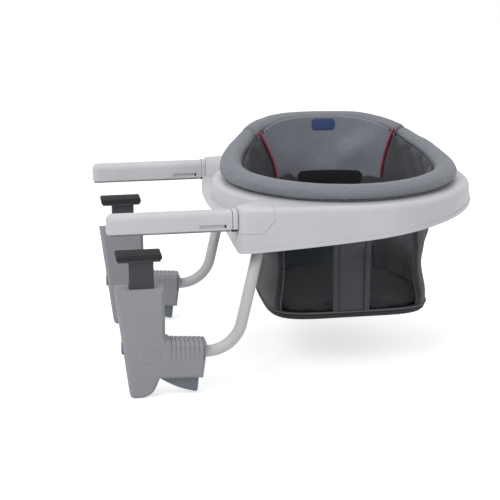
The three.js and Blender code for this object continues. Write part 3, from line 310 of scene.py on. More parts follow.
def twistedThread(name, code, lean=1400):
    paint = Paint(name)
    twist = paint.maths("SINE", (paint.along("X") + paint.along("Y") + paint.along("Z")) * lean)
    # lighter on the twist's crests and darker in its grooves, as painted highlight and shade
    colour = paint.blended(twist * 0.5 + 0.5, tone(code, 0.6), tone(code, 1.15))
    return paint.finish(colour, 0.7, paint.bump(twist, 0.0001, 0.7), Sheen_Weight=0.1)


finishes = {
    "shell": mouldedPlastic("shellPlastic", "d2d3d7", 0.40),
    "sleeve": mouldedPlastic("sleevePlastic", "d2d3d6", 0.38),
    "clamp": mouldedPlastic("clampPlastic", "9b9ca2", 0.50, 0.00006, 1700),
    "trigger": mouldedPlastic("triggerPlastic", "727a80", 0.5, 0.00005, 1700),
    "inner": mouldedPlastic("innerPlastic", "3a3c40", 0.55, 0.00005),
    "tube": mouldedPlastic("tubePaint", "cfcfd2", 0.34, 0.00005, 700),
    "buckle": mouldedPlastic("bucklePlastic", "2a2b2d", 0.42),
    "steel": brushedSteel("tubeSteel", "b6b7ba"),
    "rubber": mattRubber("blackRubber", "1c1d1f"),
    "grip": mattRubber("gripRubber", "bcbcbe", 0.72),
    "slotShade": mattRubber("slotShade", "85878c", 0.6),
    "weltCloth": mattRubber("weltEdge", "3a3b40", 0.7),
    "leatherette": grainedLeatherette("greyLeatherette", "898c94"),
    # a lighter copy of the grey leatherette for the back, as painted light
    "litBackLeather": grainedLeatherette("backLeatherette", "979aa5", 0.46),
    # a darker copy of the grey leatherette for the bucket's back, as painted shade
    "shadedLowerLeather": grainedLeatherette("lowerLeatherette", "626a73", 0.56),
    "side_cloth": wovenCloth("sideCloth", "5a5c60", 0.0007, roughness=0.64),
    "bucket_cloth": wovenCloth("bucketCloth", "37383c", 0.0011, 0.0034),
    "panelCloth": wovenCloth("panelCloth", "5e5f64", 0.0011, 0.0034),
    "padCloth": flatWeave("padCloth", "3a3b3f", 0.0012),
    "binding": wovenCloth("bindingTape", "5b5c61", 0.0008, 0.0016),
    "darkTape": wovenCloth("darkTape", "37383c", 0.0008, 0.0016),
    "piping": wovenCloth("pipingCloth", "a4455a", 0.0006, dark=0.7),
    # a darker copy of the piping cloth, as painted shade beside the cord
    "pipingEdge": wovenCloth("pipingEdge", "5d2430", 0.0006, dark=0.7),
    "patch": wovenCloth("patchCloth", "45568a", 0.0005, dark=0.8, fuzz=0.05, roughness=0.6),
    "webbing": ribbedWebbing("blackWebbing", "1c1d1f"),
    "strapWeb": ribbedWebbing("strapWebbing", "4c4d50"),
    "beltWeb": ribbedWebbing("beltWebbing", "202123", 0.0030),
    "thread": twistedThread("stitchThread", "595b60"),
    "pipingThread": twistedThread("pipingThread", "c05670", 2600),
    "patchThread": twistedThread("patchThread", "8b93b8", 2400),
    "bead": twistedThread("beadThread", "606166", 2200),
    "beadShade": twistedThread("beadShade", "46474b", 2200),
    "seamShade": twistedThread("seamShade", "1d1e20", 2200),
}
print("materials made")


def placed(name, data):
    item = bpy.data.objects.new(name, data)
    gathered.objects.link(item)
    return item


def keep(shape, name, slot, body, paint=None):
    mesh = bpy.data.meshes.new(name)
    shape.to_mesh(mesh)
    shape.free()
    piece = placed(name, mesh)
    mesh.materials.append(finishes[paint or slot])
    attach(piece, body)
    return piece


def smoothed(shape, limit=180):
    for face in shape.faces:
        face.smooth = True
    for edge in shape.edges:
        if len(edge.link_faces) == 2 and edge.calc_face_angle(0) > radians(limit):
            edge.smooth = False


def vertsOf(made):
    return [g for g in made if isinstance(g, bmesh.types.BMVert)]


# Extrudes one face and gives the new one
def grownFace(shape, face, keepOld=False):
    grown = bmesh.ops.extrude_face_region(shape, geom=[face])["geom"]
    if not keepOld:
        bmesh.ops.delete(shape, geom=[face], context="FACES_ONLY")
    return [g for g in grown if isinstance(g, bmesh.types.BMFace)][0]


def sampled(count, place):
    return [place(i / count) for i in range(count + 1)]


def softened(piece, level=1):
    soft = piece.modifiers.new("soft", "SUBSURF")
    soft.levels = soft.render_levels = level


def roundEdges(shape, edges, offset, segments):
    bmesh.ops.bevel(
        shape, geom=edges, offset=offset, offset_type="OFFSET", affect="EDGES", segments=segments, profile=0.5,
        material=-1, clamp_overlap=True, loop_slide=True,
    )


clampEdge = {
    "ribsX": (-0.0885, -0.0330),
    "grooveFloor": 0.0178,
    "grooveTop": 0.0180,
    "grooveFoot": 0.0188,
    "footZ": -0.192,
    "hair": 0.0001,
    "ribsFrom": -0.0895,
    "ribsAbove": -0.194,
    "chamfer": (0.55, 0.85),
    "edgeOn": 0.1,
    "round": 0.0016,
}


# The clamp's long edges are rounder, and its ribs' grooves run out towards their lower ends
def softClamp(shape, side):
    facts = clampEdge
    hair = facts["hair"]
    for vert in shape.verts:
        x, y, z = vert.co.x, abs(vert.co.y - side * armY), vert.co.z
        if facts["ribsX"][0] < x < facts["ribsX"][1] and abs(y - facts["grooveFloor"]) < hair:
            away = facts["grooveFoot"] if abs(z - facts["footZ"]) < 2 * hair else facts["grooveTop"]
            vert.co.y = side * armY + away * (1 if vert.co.y > side * armY else -1)
    ribbed = lambda p: p.x > facts["ribsFrom"] and p.z > facts["ribsAbove"]
    low, high = facts["chamfer"]
    rounded = []
    for item in shape.edges:
        if len(item.link_faces) != 2 or any(ribbed(v.co) for v in item.verts):
            continue
        slopes = [abs(f.normal.y) for f in item.link_faces]
        faceToChamfer = low < min(slopes) < high < max(slopes)
        chamferToSide = min(slopes) < facts["edgeOn"] and low < max(slopes) < high
        if faceToChamfer or chamferToSide:
            rounded.append(item)
    roundEdges(shape, rounded, facts["round"], 3)


cleaning = {"weld": 0.00002, "flat": radians(1.2), "sliver": 0.00004, "smooth": 40, "weight": 80}


# A CAD solid with its edges rounded, in its place and on its body
def finerCopy(node, slot, edge=0.0006, limit=32, segments=2):
    shape = bmesh.new()
    shape.from_mesh(nodes[node].data)
    bmesh.ops.remove_doubles(shape, verts=shape.verts, dist=cleaning["weld"])
    bmesh.ops.dissolve_limit(
        shape, angle_limit=cleaning["flat"], verts=shape.verts, edges=shape.edges,
        use_dissolve_boundaries=False,
    )
    bmesh.ops.dissolve_degenerate(shape, dist=cleaning["sliver"], edges=shape.edges)
    if node.startswith("clamp_shell"):
        shape.normal_update()
        softClamp(shape, sides[node.split("_")[-1]])
    sharp = [
        e for e in shape.edges
        if len(e.link_faces) == 2 and e.calc_face_angle(0) > radians(limit) and e.calc_length() > edge
    ]
    roundEdges(shape, sharp, edge, segments)
    bmesh.ops.triangulate(shape, faces=[f for f in shape.faces if len(f.verts) > 4])
    smoothed(shape, cleaning["smooth"])
    piece = keep(shape, node + "_finished", slot, nodes[node]["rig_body"])
    even = piece.modifiers.new("even", "WEIGHTED_NORMAL")
    even.keep_sharp = True
    even.weight = cleaning["weight"]
    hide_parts(node)


def seatPoint(angle, radius, z):
    return Vector((ring["centreX"] + radius * sin(angle), radius * cos(angle), z))


def lerp(a, b, t):
    return a + (b - a) * t


def eased(value, low, high):
    t = min(max((value - low) / (high - low), 0), 1)
    return t * t * (3 - 2 * t)


def rimTop(angle):
    shares = ring["riseShares"]
    place = abs(angle) / ring["riseStep"]
    i = int(place)
    if i >= len(shares) - 1:
        return ring["crownLow"]
    p = [shares[min(max(k, 0), len(shares) - 1)] for k in (i - 1, i, i + 1, i + 2)]
    t = place - i
    v0, v1 = (p[2] - p[0]) / 2, (p[3] - p[1]) / 2
    share = (2 * p[1] - 2 * p[2] + v0 + v1) * t ** 3 + (3 * (p[2] - p[1]) - 2 * v0 - v1) * t * t + v0 * t + p[1]
    return ring["crownLow"] + ring["rise"] * max(share, 0)


# An angle counted from the middle of the head cover
def headTurned(angle):
    turned = angle - ring["headTurn"]
    return turned if turned > -pi else turned + 2 * pi


def headPart(angle):
    return abs(headTurned(angle)) < ring["headAngle"]


# How far a cover's crown lies above the rim's plain height
def coverLift(angle, head):
    if head:
        return ring["headLift"]
    past = eased(abs(headTurned(angle)) - ring["headAngle"], 0, ring["besideReach"])
    return ring["besideLift"] * (1 - past)


def panRadius(angle):
    power = 2 if cos(angle) > 0 else 5
    return cloth["panHalf"] / (abs(sin(angle)) ** power + abs(cos(angle)) ** power) ** (1 / power)


def clothPoint(angle, z, depth):
    share = eased(-z, -cloth["funnelTop"], -cloth["funnelBottom"])
    away = (z - cloth["pinchZ"]) / cloth["pinchReach"]
    pinch = 1 - cloth["pinchShare"] * exp(-away * away) * share
    belly = cloth["belly"] * exp(-((z - cloth["bellyZ"]) / cloth["bellyReach"]) ** 2)
    radius = lerp(cloth["radius"], panRadius(angle) - cloth["panGap"], share)
    return seatPoint(angle, radius * pinch + belly - depth, z)


def clothTop(angle):
    return rimTop(angle) + (ring["headLift"] if headPart(angle) else 0) - cloth["topDrop"]


seam = {"rimZ": 0.0916, "most": 1.06, "bend": 1.75, "left": (-31.0, -19.2), "right": (42.6, 9.8)}


# The back seams: nearly upright below the rim, and leaning out towards the head cover's ends
def seamAngle(side, z):
    lean = min(max(z / seam["rimZ"], 0), seam["most"]) ** seam["bend"]
    foot, swing = seam["right" if side > 0 else "left"]
    return radians(foot + swing * lean)


def legAngle(side):
    return side * cloth["legAngle"] + cloth["legDrift"]


# A cloth through the points that place gives for a share across and a share up
def hungSheet(name, slot, facts, place, paint=None, level=1):
    (columns, rows), size = facts["grid"], facts["size"]
    shape = bmesh.new()
    shape.loops.layers.uv.new("cloth")
    bmesh.ops.create_grid(shape, x_segments=columns, y_segments=rows, size=0.5, calc_uvs=True)
    layer = shape.loops.layers.uv["cloth"]
    for face in shape.faces:
        for loop in face.loops:
            loop[layer].uv = ((loop.vert.co.x + 0.5) * size[0], (loop.vert.co.y + 0.5) * size[1])
    for vert in shape.verts:
        vert.co = place(vert.co.x + 0.5, vert.co.y + 0.5)
    centre = Vector((ring["centreX"], 0, 0))
    outward = 0
    for face in shape.faces:
        face.normal_update()
        middle = face.calc_center_median() - centre
        outward += face.normal.dot(Vector((middle.x, middle.y, 0))) * face.calc_area()
        face.smooth = True
    if outward < 0:
        bmesh.ops.reverse_faces(shape, faces=shape.faces)
    piece = keep(shape, name, slot, "seat", paint)
    wall = piece.modifiers.new("wall", "SOLIDIFY")
    wall.thickness = facts["thickness"]
    wall.offset = -1
    wall.use_even_offset = True
    if level:
        softened(piece, level)
    return piece


def sweptCord(name, slot, path, radius, sides, body, paint=None):
    shape = bmesh.new()
    made = bmesh.ops.create_circle(shape, segments=sides, radius=radius)
    loop = made["verts"]
    form = [v.co.copy() for v in loop]
    count = len(path)
    across = None
    for i, point in enumerate(path):
        ahead = path[min(i + 1, count - 1)]
        behind = path[max(i - 1, 0)]
        run = (ahead - behind).normalized()
        if across is None:
            across = run.orthogonal().normalized()
        across = (across - run * across.dot(run)).normalized()
        other = run.cross(across)
        if i:
            edges = [e for e in shape.edges if e.verts[0] in last and e.verts[1] in last]
            grown = bmesh.ops.extrude_edge_only(shape, edges=edges)["geom"]
            match = {}
            for vert in vertsOf(grown):
                old = min(loop, key=lambda v: (v.co - vert.co).length_squared)
                match[old] = vert
            loop = [match[v] for v in loop]
        for vert, co in zip(loop, form):
            vert.co = point + across * co.x + other * co.y
        last = set(loop)
    bmesh.ops.holes_fill(shape, edges=[e for e in shape.edges if len(e.link_faces) == 1], sides=sides)
    bmesh.ops.recalc_face_normals(shape, faces=shape.faces)
    smoothed(shape)
    return keep(shape, name, slot, body, paint)


stitches = {
    "pad": {"step": 0.0042, "size": (0.0030, 0.0008)},
    "hem": {"step": 0.0042, "size": (0.0029, 0.0006)},
    "leg": {"step": 0.0040, "size": (0.0027, 0.0006)},
    "panel": {"step": 0.0038, "size": (0.0026, 0.0006)},
    "patch": {"step": 0.0022, "size": (0.0017, 0.0005)},
}


def stitchRow(name, points, kind, slot="binding", paint="thread"):
    step, (long, thick) = stitches[kind]["step"], stitches[kind]["size"]
    shape = bmesh.new()
    travelled = 0.0
    for start, end in zip(points, points[1:]):
        length = (end - start).length
        while travelled < length:
            spot = start.lerp(end, travelled / length)
            turn = (end - start).to_track_quat("X", "Z").to_matrix().to_4x4()
            place = Matrix.Translation(spot) @ turn @ Matrix.Diagonal((long / 2, thick / 2, thick / 2, 1))
            bmesh.ops.create_icosphere(shape, subdivisions=1, radius=1, matrix=place)
            travelled += step
        travelled -= length
    smoothed(shape)
    return keep(shape, name, slot, "seat", paint)


inflation = {"pressure": 4, "frames": 20}


# A pad's skin, swollen by air and held in its own place by settle
def puffed(piece, voxel, cap, settle, hold=lambda point: 1):
    scene = bpy.context.scene
    trial = placed(piece.name + "Trial", piece.data.copy())
    grid = trial.modifiers.new("grid", "REMESH")
    grid.mode = "VOXEL"
    grid.voxel_size = voxel
    even = bpy.data.meshes.new_from_object(trial.evaluated_get(bpy.context.evaluated_depsgraph_get()))
    trial.modifiers.clear()
    trial.data = even
    start = [v.co.copy() for v in even.vertices]
    air = trial.modifiers.new("air", "CLOTH")
    air.settings.use_pressure = True
    air.settings.uniform_pressure_force = inflation["pressure"]
    air.settings.effector_weights.gravity = 0
    air.point_cache.frame_start = 1
    air.point_cache.frame_end = inflation["frames"]
    for step in range(1, inflation["frames"] + 1):
        scene.frame_set(step)
    swollen = bpy.data.meshes.new_from_object(trial.evaluated_get(bpy.context.evaluated_depsgraph_get()))
    scene.frame_set(1)
    for vert, was in zip(swollen.vertices, start):
        moved = (vert.co - was) * hold(was)
        vert.co = was + moved
        if moved.length > cap:
            vert.co = was + moved * (cap / moved.length)
        vert.co = settle(vert.co.copy())
    for face in swollen.polygons:
        face.use_smooth = True
    bpy.data.objects.remove(trial)
    paint = piece.data.materials[0]
    piece.data = swollen
    swollen.materials.clear()
    swollen.materials.append(paint)
    softened(piece)


view = {"place": (-0.282, -2.1168, 0.51835), "turn": -9.205, "down": 15.64, "roll": -0.265, "lens": 100.56}
stage = {
    "floorZ": -0.2475,
    "half": 14,
    "tones": ("ededed", "eeeeee"),
    "lift": 0.62,
    "room": 0.44,
    "aim": (0.08, 0, -0.03),
}
lamps = {
    "key": {"place": (-1.7, -1.6, 2.2), "size": 1.8, "power": 38},
    "fill": {"place": (1.7, -1.7, 1.1), "size": 1.6, "power": 7},
    "top": {"place": (0.2, 0.7, 2.4), "size": 1.8, "power": 13},
}


def makeStage():
    lens = bpy.data.cameras.new("photoView")
    lens.lens = view["lens"]
    lens.sensor_width = 36
    lens.clip_end = 60
    camera = placed("photoView", lens)
    camera.matrix_world = (
        Matrix.Translation(view["place"]) @ Matrix.Rotation(radians(view["turn"]), 4, "Z")
        @ Matrix.Rotation(radians(90 - view["down"]), 4, "X") @ Matrix.Rotation(radians(view["roll"]), 4, "Z")
    )
    bpy.context.scene.camera = camera
    bpy.context.scene.view_settings.view_transform = "Standard"

    shape = bmesh.new()
    bmesh.ops.create_grid(shape, x_segments=1, y_segments=1, size=stage["half"])
    bmesh.ops.translate(shape, verts=shape.verts, vec=(0, 0, stage["floorZ"]))
    mesh = bpy.data.meshes.new("paleFloor")
    shape.to_mesh(mesh)
    shape.free()
    floorPiece = placed("paleFloor", mesh)
    paint = Paint("paleFloor")
    seen = paint.maths(
        "MAXIMUM", paint.node("ShaderNodeLightPath", output="Is Camera Ray"),
        paint.maths(
            "MAXIMUM", paint.node("ShaderNodeLightPath", output="Is Glossy Ray"),
            paint.node("ShaderNodeLightPath", output="Is Transmission Ray"),
        ),
    )
    shade = paint.noise(3, 2)
    paint.finish(paint.blended(shade, *[tone(code) for code in stage["tones"]]), 0.9, Specular_IOR_Level=0.0)
    glow = paint.node("ShaderNodeEmission", {}, {"Strength": seen * stage["lift"]})
    both = paint.node("ShaderNodeAddShader", {}, {0: Wire(paint, paint.shader.outputs[0]), 1: glow})
    paint.feed(paint.tree.nodes["Material Output"].inputs[0], both)
    mesh.materials.append(paint.material)

    world = bpy.data.worlds.new("softRoom")
    bpy.context.scene.world = world
    world.use_nodes = True
    tree = world.node_tree
    path = tree.nodes.new("ShaderNodeLightPath")
    strength = tree.nodes.new("ShaderNodeMapRange")
    seenBy = path.outputs["Is Camera Ray"]
    for kind in ("Is Glossy Ray", "Is Transmission Ray"):
        either = tree.nodes.new("ShaderNodeMath")
        either.operation = "MAXIMUM"
        tree.links.new(seenBy, either.inputs[0])
        tree.links.new(path.outputs[kind], either.inputs[1])
        seenBy = either.outputs[0]
    tree.links.new(seenBy, strength.inputs[0])
    strength.inputs[3].default_value = stage["room"]
    strength.inputs[4].default_value = 1
    tree.nodes["Background"].inputs[0].default_value = (1, 1, 1, 1)
    tree.links.new(strength.outputs[0], tree.nodes["Background"].inputs[1])

    for name, facts in lamps.items():
        light = bpy.data.lights.new(name, "AREA")
        light.size = facts["size"]
        light.energy = facts["power"]
        lamp = placed(name, light)
        aim = Vector(stage["aim"]) - Vector(facts["place"])
        turn = aim.to_track_quat("-Z", "Y").to_matrix().to_4x4()
        lamp.matrix_world = Matrix.Translation(facts["place"]) @ turn


makeStage()
print("stage ready")

# Solids shown as they are, with rounder edges; * stands for left and for right
mouldings = {
    "frame_body": ("shell", 0.0007, 50),
    "corner_cover_*": ("shell", 0.0005),
    "arm_sleeve_*": ("sleeve", 0.0008),
    "arm_collar_*": ("shell", 0.0005),
    "clamp_shell_outer_*": ("clamp", 0.0006),
    "clamp_shell_inner_*": ("clamp", 0.0006),
    "trigger_*": ("trigger", 0.0012),
    "release_button_*": ("trigger", 0.0006),
    "jack_post_*": ("inner", 0.0004),
    "jack_pad_*": ("rubber", 0.0008),
    "collar_pad_*": ("rubber", 0.0005),
    "lip_pad": ("rubber", 0.0003),
    "carrier_ring": ("inner", 0.0005),
    "retaining_ring": ("inner", 0.0004),
    "lock_slider": ("trigger", 0.0006),
    "lock_guide": ("inner", 0.0005),
    "buckle_body": ("buckle", 0.0010),
    "buckle_button": ("trigger", 0.0010),
}
hidden = {
    "arm_tube_*": "steel",
    "arm_bracket_*": "inner",
    "glide_ring": "sleeve",
    "seat_board": "inner",
    "trigger_pin_*": "steel",
    "trigger_spring_*": "steel",
}


def namesOf(pattern):
    return [pattern.replace("*", word) for word in sides] if "*" in pattern else [pattern]


def makeMouldings():
    for pattern, facts in mouldings.items():
        for node in namesOf(pattern):
            finerCopy(node, *facts)
    for pattern, paint in hidden.items():
        for node in namesOf(pattern):
            nodes[node].data.materials.clear()
            nodes[node].data.materials.append(finishes[paint])


# The bare raised plate on each clamp's outer face
plate = {
    "x": (-0.1395, -0.1035),
    "z": (-0.1915, -0.1725),
    "corner": 0.004,
    "longer": 0.6,
    "face": 0.0190,
    "proud": 0.0006,
    "edge": 0.0005,
    "border": 0.0011,
    "groove": 0.0003,
}


def signed(size, like):
    return size if like > 0 else -size


def makePlate(side, word):
    (x0, x1), (z0, z1) = plate["x"], plate["z"]
    middle = Vector(((x0 + x1) / 2, side * (armY + plate["face"]), (z0 + z1) / 2))
    spanX, spanZ = (x1 - x0) / 2, (z1 - z0) / 2
    bend = plate["corner"] / spanZ
    shape = bmesh.new()
    bmesh.ops.create_circle(shape, segments=48, radius=1, cap_ends=True)
    for vert in shape.verts:
        turn = atan2(vert.co.y, vert.co.x)
        dx, dz = cos(turn), sin(turn)
        x = signed(abs(dx) ** (bend * plate["longer"]), dx)
        vert.co = middle + Vector((spanX * x, 0, spanZ * signed(abs(dz) ** bend, dz)))
    face = shape.faces[:][0]
    for inset, lift in ((0, plate["proud"] * 0.6), (plate["edge"], plate["proud"])):
        face = grownFace(shape, face)
        for vert in face.verts:
            away = Vector((vert.co.x - middle.x, 0, vert.co.z - middle.z))
            vert.co = vert.co - away.normalized() * inset
            vert.co.y = middle.y + side * lift
    bmesh.ops.inset_region(shape, faces=[face], thickness=plate["border"], depth=0)
    bmesh.ops.inset_region(shape, faces=[face], thickness=plate["groove"], depth=-plate["groove"])
    bmesh.ops.recalc_face_normals(shape, faces=shape.faces)
    keep(shape, f"clamp_plate_{word}", "clamp", f"lower_arm_{word}")


def brick(shape, low, high):
    middle = [(a + b) / 2 for a, b in zip(low, high)]
    size = [b - a for a, b in zip(low, high)]
    bmesh.ops.create_cube(shape, size=1, matrix=Matrix.Translation(middle) @ Matrix.Diagonal((*size, 1)))


teeth = {
    "pitch": 0.0026,
    "width": 0.0012,
    "root": 0.0018,
    "overlap": 0.0002,
    "gapShadeInset": 0.0005,
    "gapShadeEnds": 0.001,
    "gapShadeFoot": 0.0002,
    "gapShadeOverlap": 0.0001,
}


# The toothed strip under each arm, and a black block inside it that shows between its teeth as painted shade
def makeGrip(word):
    low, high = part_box(f"arm_grip_{word}")
    root = teeth["root"]
    shape = bmesh.new()
    brick(shape, (low.x, low.y, root), high)
    for i in range(int((high.x - low.x) / teeth["pitch"])):
        x = low.x + i * teeth["pitch"]
        brick(shape, (x, low.y, low.z), (x + teeth["width"], high.y, root + teeth["overlap"]))
    piece = keep(shape, f"grip_teeth_{word}", "grip", "frame")
    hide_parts(f"arm_grip_{word}")
    # painted shade between the teeth: a black block just inside the strip
    shape = bmesh.new()
    inset, ends = teeth["gapShadeInset"], teeth["gapShadeEnds"]
    brick(
        shape, (low.x + ends, low.y + inset, low.z + teeth["gapShadeFoot"]),
        (high.x - ends, high.y - inset, root + teeth["gapShadeOverlap"]),
    )
    keep(shape, f"grip_core_{word}", "rubber", "frame")


armSlot = {
    "right": -0.0036,
    "top": 0.011,
    "floor": 0.0110,
    "sunk": 0.0006,
    "play": 0.0001,
    # both pieces are painted shade: a grey strip under the upper edge, and a black block in the slot's end
    "shade": {"long": 0.0390, "high": 0.0009, "proud": 0.0006, "paint": "slotShade"},
    "end": {"long": 0.0021, "high": 0.0050, "proud": 0.0016, "paint": "rubber"},
}


# Painted shade in each slot of an arm: a grey strip along its upper edge, and a black block in its end where
# the hole lies in shade
def makeSlotEnds(side, word):
    right, top, play = armSlot["right"], armSlot["top"], armSlot["play"]
    for where, face in (("near", -1), ("far", 1)):
        y = side * armY + face * armSlot["floor"]
        for kind in ("shade", "end"):
            facts = armSlot[kind]
            shape = bmesh.new()
            low, high = sorted((y - face * armSlot["sunk"], y + face * facts["proud"]))
            brick(
                shape, (right - facts["long"] + play, low, top - facts["high"] + play),
                (right - play, high, top - play),
            )
            keep(shape, f"slot_{kind}_{word}_{where}", "sleeve", "frame", facts["paint"])


shoulder = {
    "facet": 5,
    "thickness": 0.0005,
    "strip": {
        "angles": [-108.7, -110, -115, -120, -125, -130.1],
        "inner": (0.1952, 0.0317),
        "outer": (0.1981, 0.03004),
    },
    "patch": {
        "angles": [-129.9, -131.5, -133, -134.9],
        "inner": (0.1882, 0.0337),
        "outer": (0.1990, 0.03085),
    },
}


# Closes the thin places in the frame's shoulder beside each arm
def makeShoulder(kind, side, word):
    facts = shoulder[kind]
    count = len(facts["angles"]) - 1
    shape = bmesh.new()
    bmesh.ops.create_grid(shape, x_segments=count, y_segments=1, size=0.5)
    for vert in shape.verts:
        angle = facts["angles"][round((vert.co.x + 0.5) * count)]
        half = shoulder["facet"] / 2
        chord = cos(radians(half)) / cos(radians(angle % shoulder["facet"] - half))
        (r0, z0), (r1, z1) = facts["inner"], facts["outer"]
        spot = seatPoint(radians(angle), lerp(r0, r1, vert.co.y + 0.5) * chord, lerp(z0, z1, vert.co.y + 0.5))
        vert.co = Vector((spot.x, spot.y * -side, spot.z))
    grown = bmesh.ops.extrude_face_region(shape, geom=shape.faces[:])["geom"]
    for vert in vertsOf(grown):
        vert.co.z -= shoulder["thickness"]
    bmesh.ops.recalc_face_normals(shape, faces=shape.faces)
    keep(shape, f"shoulder_{kind}_{word}", "shell", "frame")


joints = {
    # a black plate nearly flush with the arm, as painted shade in the gap between sleeve and collar
    "sleeve_joint": {"of": "arm_sleeve", "x": (0.0048, 0.0061), "inset": 0.00002, "paint": "rubber"},
    "collar_joint": {"of": "arm_collar", "x": (0.0120, 0.0134), "inset": 0.0002, "paint": "shell"},
}


# A thin plate as an arm's section, for the joints along it; the black one between sleeve and collar is painted
# shade in the gap there
def makeJoint(kind, word, endReach=0.0002):
    facts = joints[kind]
    source = f"{facts['of']}_{word}"
    low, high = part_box(source)
    middle = (low + high) / 2
    shape = bmesh.new()
    for vert in nodes[source].data.vertices:
        if vert.co.x > high.x - endReach:
            for x in facts["x"]:
                dy, dz = vert.co.y - middle.y, vert.co.z - middle.z
                step = facts["inset"] / max(hypot(dy, dz), facts["inset"])
                shape.verts.new((x, vert.co.y - dy * step, vert.co.z - dz * step))
    made = bmesh.ops.convex_hull(shape, input=shape.verts)
    bmesh.ops.delete(shape, geom=vertsOf(made["geom_interior"]), context="VERTS")
    bmesh.ops.recalc_face_normals(shape, faces=shape.faces)
    keep(shape, f"{kind}_{word}", "shell", "frame", facts["paint"])


makeMouldings()
for word, side in sides.items():
    makePlate(side, word)
    makeGrip(word)
    makeSlotEnds(side, word)
    for kind in ("strip", "patch"):
        makeShoulder(kind, side, word)
    for kind in joints:
        makeJoint(kind, word)
print("mouldings done")

bentTube = {
    "radius": 0.00875,
    "lean": radians(13),
    "socket": (0.0445, -0.035),
    "topZ": 0.0015,
    "bendRadius": 0.0528,
    "runZ": -0.1846,
    "runEnd": -0.080,
    "bendSteps": 20,
    "sides": 28,
}


def makeBentTube(side, word):
    t = bentTube
    y, lean, bend = side * armY, t["lean"], t["bendRadius"]
    axisX = lambda z: t["socket"][0] + (z - t["socket"][1]) * sin(lean) / cos(lean)
    startX = axisX(t["runZ"] + bend * (1 - sin(lean))) - bend * cos(lean)

    def onBend(share):
        turn = share * (pi / 2 - lean)
        return Vector((startX + bend * sin(turn), y, t["runZ"] + bend * (1 - cos(turn))))

    path = [Vector((t["runEnd"], y, t["runZ"]))]
    path += sampled(t["bendSteps"], onBend)
    path.append(Vector((axisX(t["topZ"]), y, t["topZ"])))
    piece = sweptCord(f"bent_tube_{word}", "tube", path, t["radius"], t["sides"], f"lower_arm_{word}")
    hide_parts(f"lower_tube_{word}")


for word, side in sides.items():
    makeBentTube(side, word)
print("lower arms done")

padding = {
    "columns": 132,
    "headColumns": 56,
    "sides": 30,
    "innerGap": 0.0006,
    "footGap": 0.0005,
    "over": (0.86, 0.92),
    "under": (0.72, 0.55),
    "waist": 0.52,
    "leanIn": 0.0016,
    "tuck": 0.0045,
    "spinRadius": 0.17,
    "spinSize": 0.05,
    "shrink": 0.0010,
    "tighten": 0.0014,
    "voxel": 0.0045,
    "cap": 0.007,
    "nearSeam": (0.001, 0.026),
    "inMost": 0.0003,
    "outMost": 0.0035,
    "seam": radians(0.35),
    "pull": 0.0016,
    "pullReach": 0.0022,
    "pullLean": 0.02,
    "dent": 0.0010,
    "gather": 0.00035,
    "weltEnds": radians(0.5),
    "weltStep": radians(2),
    "weltRadius": 0.0012,
    "weltDrop": 0.0070,
    "weltGap": 0.0002,
    "stitchOut": 0.0006,
    "stitchUp": 0.0036,
}


def padSection(turn, top, swell, shrink):
    inner = ring["inner"] + padding["innerGap"]
    outer = ring["outer"] + ring["bulge"] + swell
    c, s = cos(turn), sin(turn)
    powerX, powerZ = padding["under" if s < 0 else "over"]
    x = signed(abs(c) ** powerX, c)
    z = signed(abs(s) ** powerZ, s)
    half = (outer - inner) / 2 - shrink
    low = ring["deckTop"] + padding["footGap"] + shrink
    high = top - shrink
    waist = lerp(low, high, padding["waist"])
    height = lerp(waist, high, z) if s > 0 else lerp(waist, low, -z)
    leanIn = padding["leanIn"] * max(s, 0) * (1 - c) / 2
    tuck = padding["tuck"] * max(-z, 0) ** 3 * max(x, 0)
    return (inner + outer) / 2 + half * x - tuck, height + leanIn


def wrapped(angle):
    return angle if angle <= pi else angle - 2 * pi


def makePad(name, start, end, columns, swell, head):
    shape = bmesh.new()
    circle = bmesh.ops.create_circle(shape, segments=padding["sides"], radius=1)["verts"]
    turns = [atan2(v.co.y, v.co.x) for v in circle]
    away, size = padding["spinRadius"], padding["spinSize"]
    for vert, turn in zip(circle, turns):
        vert.co = Vector((ring["centreX"] + away + size * cos(turn), 0, size * sin(turn)))
    bmesh.ops.spin(
        shape, geom=shape.edges[:], cent=(ring["centreX"], 0, 0), axis=(0, 0, 1), angle=end - start,
        steps=columns, use_merge=False, use_duplicate=False,
    )
    for vert in shape.verts:
        x, y = vert.co.x - ring["centreX"], vert.co.y
        turned = atan2(y, x)
        if turned < -1e-4:
            turned += 2 * pi
        angle = wrapped(start + turned)
        turn = atan2(vert.co.z, hypot(x, y) - away)
        top = rimTop(angle) + coverLift(angle, head)
        radius, z = padSection(turn, top, swell, padding["shrink"])
        vert.co = seatPoint(angle, radius, z)
    bmesh.ops.holes_fill(shape, edges=[e for e in shape.edges if len(e.link_faces) == 1], sides=0)
    bmesh.ops.recalc_face_normals(shape, faces=shape.faces)
    smoothed(shape)
    return keep(shape, name, "leatherette", "seat")


def seatAngle(point):
    return atan2(point.x - ring["centreX"], point.y)


def farFromSeam(point):
    away = abs(abs(headTurned(seatAngle(point))) - ring["headAngle"]) * (ring["inner"] + ring["outer"]) / 2
    return eased(away, *padding["nearSeam"])


